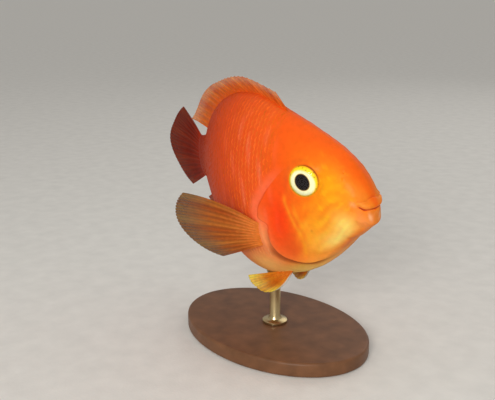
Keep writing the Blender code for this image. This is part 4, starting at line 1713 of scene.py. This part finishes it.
@dataclass(frozen=True)
class Fin:
    """A fin of branching rays with membrane between them, in mm."""

    body: Body
    shape: FinShape
    side: Side = Side.LEFT
    per_ray: int = 16
    rows: int = 44
    membrane_half: float = 0.11
    ray_half: float = 0.42
    ray_tip_half: float = 0.16
    root_half: float = 1.0
    root_sink: float = 0.6
    stem_inset: float = 1.2
    stem_half: float = 1.6
    stem_rounding: float = 0.75
    forks: tuple = ((0.25, 0.4, 0.45), (0.1, 0.8, 0.3))
    ray_width: float = 0.24
    soft_thinning: float = 0.13
    spine_thinning: float = 0.1
    sheath_end: float = 0.12
    strand_vary: float = 0.35
    finish: Finish = Finish(
        "fin",
        roughness=0.45,
        subsurface=0.25,
        subsurface_reach=0.8,
        specular=0.03,
        coat=0.04,
        coat_roughness=0.3,
        grain=0.5,
        bump=0.02,
        mottle=0.12,
        mottle_size=2,
        see_through=True,
    )

    def ridges(self, place: Array, step: Array, soft: Array) -> Array:
        """Find how near each point is to a ray, from 0 on the membrane to 1 on a ray.

        A soft ray forks twice: its branches part from its middle line after each fork, and
        the nearest branch counts. A spine stays whole and thins to its tip. Across a branch
        the closeness falls as a bell curve.

        Args:
            place: Position across the fin, in rays.
            step: The share of the way out.
            soft: 1 for soft rays, 0 for spines.

        Returns:
            The closeness to a ray.
        """
        away = np.abs(place - np.round(place))
        for parting, start, reach in self.forks:
            away = np.abs(away - parting * ease(step, start, start + reach) * soft)
        thinning = self.soft_thinning * soft + self.spine_thinning * (1 - soft)
        return np.exp(-((away / (self.ray_width - thinning * step)) ** 2))

    def root_line(self, share: Array) -> tuple[Array, Array]:
        """Find the middle of the root and the way across it.

        On the tail stem the root is an upright oval. On the body it follows the skin.

        Args:
            share: Places along the root, from the first ray to the last.

        Returns:
            The middles, and the vectors from them to one face.
        """
        shape = self.shape
        if shape.on_stem:
            low, high = self.body.belly[-1] + self.stem_inset, self.body.back[-1] - self.stem_inset
            height = low + (high - low) * share
            half = self.stem_half * np.sqrt(1 - self.stem_rounding * (2 * share - 1) ** 2)
            end = self.root_sink - self.body.length
            root = np.stack([end + 0 * share, 0 * share, height], -1)
            return root, half[:, None] * np.array([0, 1, 0])
        station = spread(shape.stations, share)
        angle = np.radians(spread(shape.angles, share))
        along, around = self.root_half, 0
        if not shape.upright:
            along, around = 0, self.root_half / self.body.profile(self.body.half_width, station)
        one = self.side.turned(self.body.lifted(station + along, angle - around, -self.root_sink))
        other = self.side.turned(self.body.lifted(station - along, angle + around, -self.root_sink))
        return (one + other) / 2, (one - other) / 2

    def surface(self, share: Array, step: Array) -> tuple[Array, Array, Array]:
        """Work out the fin's middle surface.

        Each ray runs straight along its own line, bowed by its cup and tip lift times the
        square of the way out. The margin dips between rays, most between spines.

        Args:
            share: Places across the fin, from its first ray to its last.
            step: Shares of the way out.

        Returns:
            The points, the root's half width vectors and the ray closeness.
        """
        shape = self.shape
        rise = np.radians(spread(shape.rise, share))
        out = math.radians(shape.out)
        flat = np.cos(rise)
        line = np.stack([-math.cos(out) * flat, math.sin(out) * flat, np.sin(rise)], -1)
        place = share * (shape.rays - 1)
        soft = np.ones_like(share)
        if shape.spines:
            soft = ease(share, shape.spines - 0.02, shape.spines + 0.02)
        between = 1 - self.ridges(place[None], np.ones((1, 1)), soft[None])[0]
        short = spread(shape.notch, share) * between * (1.5 - soft)
        length = spread(shape.length, share) * (1 - short)
        bow = np.stack([0 * share, 0 * share - shape.cup, spread(shape.tip_lift, share)], -1)
        root, half = self.root_line(share)
        steps = step[:, None, None]
        points = root + self.side.turned(line * length[:, None] * steps + bow * steps**2)
        return points, half, self.ridges(place[None], step[:, None], soft[None])

    def build(self) -> bpy.types.Object:
        """Make the fin: two faces round the middle surface, closed at root and margin.

        The faces stand off along the surface's normal by the membrane's half thickness, and
        by a ray's on the rays. At the root a sheath widens them to the root's own half width.

        Returns:
            The fin.
        """
        shape = self.shape
        share = np.linspace(0, 1, self.per_ray * (shape.rays - 1) + 1)
        step = np.linspace(0, 1, self.rows) ** 0.9
        points, half, ridge = self.surface(share, step)
        normal = unit(np.cross(np.gradient(points, axis=0), np.gradient(points, axis=1)))
        normal = normal * np.sign(np.sum(normal[1] * half, -1).sum())
        ray = self.ray_half + (self.ray_tip_half - self.ray_half) * step[:, None]
        thick = self.membrane_half + (ray - self.membrane_half) * ridge
        sheath = (1 - ease(step, 0.0, self.sheath_end))[:, None]
        offset = normal * (thick * (1 - sheath))[..., None] + half[None] * sheath[..., None]
        rings = np.concatenate([points + offset, (points - offset)[:, ::-1]], 1)
        world = self.body.world(rings)[None]
        fields = self.colour(share, step, ridge)
        tone, cover = (np.concatenate([x, x[:, ::-1]], 1)[None] for x in fields)
        loft = Loft(world, Ends.STRIP, tone, even_unwrap(world.shape[:3]), cover)
        obj = loft.build(shape.name + "_rays")
        settle(obj, self.finish, [shape.name])
        return obj

    def colour(self, share: Array, step: Array, ridge: Array) -> tuple[Array, Array]:
        """Colour the fin from root to tip, its membrane darker than its rays.

        Strands of more and less green and blue run out by a product of two sines of the place
        in rays. Two faces cover together what one point should, so each covers 1 minus the
        square root of what is left open.

        Args:
            share: Places across the fin.
            step: Shares of the way out.
            ridge: The closeness to a ray.

        Returns:
            The colours and how much each face covers.
        """
        shape = self.shape
        out = step[:, None] + 0 * share
        tone = blend(shape.root_tone, shape.middle_tone, ease(out, 0, 0.5))
        tone = blend(tone, shape.tip_tone, ease(out, 0.45, 1))
        tone = tone * (1 - shape.ray_shade * (1 - ridge**0.6) * ease(out, 0.05, 0.3))[..., None]
        place = share * (shape.rays - 1)
        strands = np.sin(2.2 * place + 0.7) * np.sin(0.83 * place + 0.4) * ease(out, 0.1, 0.5)
        tone = tone * (1 + self.strand_vary * strands[..., None] * np.array([0.4, 1.0, 1.0]))
        if shape.edge_tone is not None:
            edge = 1 - ease(place, 0.2, shape.edge_rays)
            tone = blend(tone, shape.edge_tone, edge * ease(out, 0.05, 0.3))
        root, middle, tip = shape.cover
        cover = root + (middle - root) * ease(out, 0.04, 0.45) + (tip - middle) * ease(out, 0.4, 1)
        cover = np.clip(cover + shape.ray_cover * ridge * out, 0, 1)
        return tone, 1 - np.sqrt(1 - 0.998 * cover)


@dataclass(frozen=True)
class Stand:
    """A turned brass rod with a collar and a cup, on an oval walnut base, in mm."""

    base_length: float = 120
    base_depth: float = 84
    base_thickness: float = 8
    base_bevel: float = 1.5
    rod_radius: float = 3
    collar_radius: float = 7
    collar_rim: float = 1.5
    collar_height: float = 3
    cup_radius: float = 5
    cup_height: float = 6
    cup_rim: float = 1
    gap: float = 0.3
    bevel: float = 0.3
    flat_radius: float = 4
    base_columns: int = 160
    rod_columns: int = 64
    sharp_above: float = 40
    walnut_brown: Colour = (0.17, 0.072, 0.03)
    brass_yellow: Colour = (0.62, 0.48, 0.25)
    wood: Finish = Finish(
        "walnut",
        roughness=0.5,
        specular=0.25,
        coat=0.1,
        coat_roughness=0.3,
        grain=0.6,
        bump=0.03,
        mottle=0.22,
        mottle_size=9,
    )
    brass: Finish = Finish(
        "brass",
        roughness=0.28,
        metallic=1,
        grain=0.8,
        bump=0.004,
        mottle=0.05,
        mottle_size=4,
    )

    def base(self) -> bpy.types.Object:
        """Turn the base: rings of an oval that step in round its softened edges.

        Each edge is a quarter circle: insets r (1 - sin a) and heights r (1 - cos a).

        Returns:
            The base.
        """
        a = np.radians(np.linspace(0, 90, 7))
        inset, height = self.base_bevel * (1 - np.sin(a)), self.base_bevel * (1 - np.cos(a))
        flat = self.base_depth / 2 - self.flat_radius
        inset = np.concatenate([[flat], inset, inset[::-1], [flat]])
        thick = self.base_thickness
        height = np.concatenate([[0], height, thick - height[::-1], [thick]])
        turn = np.linspace(0, 2 * np.pi, self.base_columns, endpoint=False)
        long, deep = self.base_length / 2 - inset, self.base_depth / 2 - inset
        obj = self.turned("walnut_base", ring_points(long, deep, height, turn), self.walnut_brown)
        settle(obj, self.wood, ["stand_base"])
        return obj

    def turned(self, name: str, rings: Array, colour: Colour) -> bpy.types.Object:
        """Close a stack of rings into a turned piece of one colour.

        Args:
            name: The piece's name.
            rings: Its points, ring by ring, in mm.
            colour: Its linear colour.

        Returns:
            The piece.
        """
        rings = rings[None]
        tone = np.ones(rings.shape) * np.array(colour)
        obj = Loft(rings * MM, Ends.POINT, tone, even_unwrap(rings.shape[:3])).build(name)
        obj.data.set_sharp_from_angle(angle=math.radians(self.sharp_above))
        return obj

    def underside(self, skin: bpy.types.Object, places: Array) -> Array:
        """Find the heights at which upright lines meet the skin from below.

        A line at p meets the triangle with corners a, b, c where p = a + s (b - a) + t (c - a)
        with s, t and 1 - s - t all at least 0, at the height a + s (b - a) + t (c - a).

        Args:
            skin: The skin.
            places: The lines' x and y, in mm.

        Returns:
            The heights, in mm.
        """
        mesh = skin.data
        mesh.calc_loop_triangles()
        corners = np.empty(3 * len(mesh.loop_triangles), np.int32)
        mesh.loop_triangles.foreach_get("vertices", corners)
        points = np.empty(3 * len(mesh.vertices), np.float32)
        mesh.vertices.foreach_get("co", points)
        points = points.reshape(-1, 3).astype(float) / MM
        a, b, c = points[corners.reshape(-1, 3)].transpose(1, 0, 2)
        near = np.abs(a[:, :2]).max(1) < np.abs(places).max() + 4
        a, one, two = a[near], (b - a)[near], (c - a)[near]
        to_place = places[:, None] - a[:, :2]
        area = one[:, 0] * two[:, 1] - one[:, 1] * two[:, 0]
        s = (to_place[..., 0] * two[:, 1] - to_place[..., 1] * two[:, 0]) / area
        t = (one[:, 0] * to_place[..., 1] - one[:, 1] * to_place[..., 0]) / area
        meets = np.minimum(np.minimum(s, t), 1 - s - t) >= -1e-6
        return np.where(meets, a[:, 2] + s * one[:, 2] + t * two[:, 2], np.inf).min(1)

    def rod(self, skin: bpy.types.Object) -> bpy.types.Object:
        """Turn the rod, its cup's rim following the belly above it.

        Args:
            skin: The skin that the cup carries.

        Returns:
            The rod.
        """
        foot = self.base_thickness + self.gap
        top = self.underside(skin, np.zeros((1, 2)))[0]
        cup = top - self.cup_height
        turned = [
            (self.collar_radius - self.bevel, foot),
            (self.collar_radius, foot + self.bevel),
            (self.collar_radius, foot + self.collar_rim - self.bevel),
            (self.collar_radius - self.bevel, foot + self.collar_rim),
            (self.rod_radius + 3 * self.bevel, foot + self.collar_height - 3 * self.bevel),
            (self.rod_radius, foot + self.collar_height + 2 * self.bevel),
            (self.rod_radius, (foot + top) / 2),
            (self.rod_radius, cup),
            (self.rod_radius + 0.5, cup + 1.8),
            (self.cup_radius - 0.2, top - self.cup_rim),
            (self.cup_radius, top),
            (self.cup_radius - self.cup_rim, top),
            (self.cup_radius / 2, top),
        ]
        radius, height = np.array(turned).T
        turn = np.linspace(0, 2 * np.pi, self.rod_columns, endpoint=False)
        rings = ring_points(radius, radius, height, turn)
        under = self.underside(skin, rings[-3:, :, :2].reshape(-1, 2))
        rings[-3:, :, 2] = under.reshape(3, -1) - self.gap
        obj = self.turned("brass_rod", rings, self.brass_yellow)
        settle(obj, self.brass, ["stand_rod"])
        return obj


@dataclass(frozen=True)
class Studio:
    """The floor, lamps and camera, in mm and degrees."""

    eye: tuple[float, float, float] = (308.34, -285.65, 193.15)
    azimuth: float = 49.304
    elevation: float = 15.169
    lens: float = 58.18
    sensor: float = 36
    lamp_fan: float = 110
    sky_light: tuple[float, float] = (0.37, 0.16)
    sky_colour: Colour = (1, 0.985, 0.955)
    floor_size: float = 30000
    floor_colour: Colour = (0.78, 0.76, 0.72)
    floor_finish: Finish = Finish(
        "floor",
        roughness=0.75,
        grain=1.5,
        bump=0.1,
        mottle=0.04,
        mottle_size=12,
    )
    clip: tuple[float, float] = (0.01, 20)
    lamps: tuple = (
        ("key", (445, -685, 390), (35, -15, 90), 280, 1.55, (1, 0.98, 0.94)),
        ("fill", (-250, 1150, 760), (0, 0, 80), 900, 0.8, (1, 0.98, 0.95)),
        ("top", (-20, 0, 1200), (0, 0, 80), 900, 0.4, (1, 0.99, 0.97)),
    )

    def look(self) -> Vector:
        """The direction from the object to the camera."""
        turn, up = math.radians(self.azimuth), math.radians(self.elevation)
        return Vector((math.sin(turn) * math.cos(up), -math.cos(turn) * math.cos(up), math.sin(up)))

    def floor(self) -> None:
        """Lay the pale floor, a fine grain in its colour and height."""
        corners = np.array([(-1, -1, 0), (1, -1, 0), (1, 1, 0), (-1, 1, 0)]) * self.floor_size / 2 * MM
        mesh = bpy.data.meshes.new("floor")
        mesh.from_pydata(corners.tolist(), [], [(0, 1, 2, 3)])
        tone = np.tile([*self.floor_colour, 1], 4)
        attribute = mesh.attributes.new("Tone", "FLOAT_COLOR", "POINT")
        hand_over(attribute.data, "color", tone, np.float32)
        obj = bpy.data.objects.new("floor", mesh)
        bpy.context.scene.collection.objects.link(obj)
        self.floor_finish.dress(obj)

    def lamp(
        self, name: str, place: tuple, aim: tuple, size: float, watts: float, colour: Colour
    ) -> None:
        """Hang a square soft lamp.

        Args:
            name: The lamp's name.
            place: Where it hangs, in mm.
            aim: What it points at, in mm.
            size: Its side, in mm.
            watts: Its power.
            colour: Its linear colour.
        """
        light = bpy.data.lights.new(name, "AREA")
        light.size = size * MM
        light.spread = math.radians(self.lamp_fan)
        light.energy = watts
        light.color = colour
        obj = bpy.data.objects.new(name, light)
        obj.location = Vector(place) * MM
        obj.rotation_mode = "QUATERNION"
        obj.rotation_quaternion = (Vector(aim) - Vector(place)).to_track_quat("-Z", "Y")
        obj.visible_camera = False
        bpy.context.scene.collection.objects.link(obj)

    def sky(self) -> None:
        """Light the studio evenly, a little more from above: level light plus a share of height.

        The level light is what the floor gives back, so that the floor meets the sky unseen.
        """
        level, rise = self.sky_light
        world = bpy.data.worlds.new("sky")
        world.use_nodes = True
        tree = world.node_tree
        place = add_node(tree, "TexCoord").outputs["Generated"]
        height = add_node(tree, "SeparateXYZ", {"Vector": place}).outputs["Z"]
        levels = {"Value": height, "To Min": level, "To Max": level + rise}
        light = add_node(tree, "MapRange", levels).outputs["Result"]
        inputs = {"Color": (*self.sky_colour, 1), "Strength": light}
        wire(tree, tree.nodes["Background"], inputs)
        bpy.context.scene.world = world

    def camera(self) -> None:
        """Place the camera at the viewing angle."""
        camera = bpy.data.cameras.new("camera")
        camera.lens = self.lens
        camera.sensor_width = self.sensor
        camera.sensor_fit = "HORIZONTAL"
        camera.clip_start, camera.clip_end = self.clip
        obj = bpy.data.objects.new("camera", camera)
        obj.location = Vector(self.eye) * MM
        obj.rotation_mode = "QUATERNION"
        obj.rotation_quaternion = (-self.look()).to_track_quat("-Z", "Y")
        bpy.context.scene.collection.objects.link(obj)
        bpy.context.scene.camera = obj

    def build(self) -> None:
        """Set up floor, lamps, sky and camera."""
        self.floor()
        for lamp in self.lamps:
            self.lamp(*lamp)
        self.sky()
        bpy.context.scene.view_settings.view_transform = "Standard"
        self.camera()
        LOG.info("studio: floor, three lamps and camera")


def main() -> None:
    """Build the fish, its stand and the studio."""
    logging.basicConfig(level=logging.INFO, format="%(name)s: %(message)s")
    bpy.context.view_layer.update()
    body = Body()
    face = Face(body)
    eye = EyePlace(body)
    colouring = Colouring()
    skin = Skin(body, face, eye, colouring).build()
    for side in Side:
        Scales(body, face, colouring, side).build()
        Eye(body, eye, side).build()
        Fin(body, PECTORALS[side], side).build()
        Fin(body, PELVICS[side], side).build()
    for shape in (DORSAL, ANAL, TAIL):
        Fin(body, shape).build()
    stand = Stand()
    stand.base()
    stand.rod(skin)
    Studio().build()


if __name__ == "__main__":
    main()
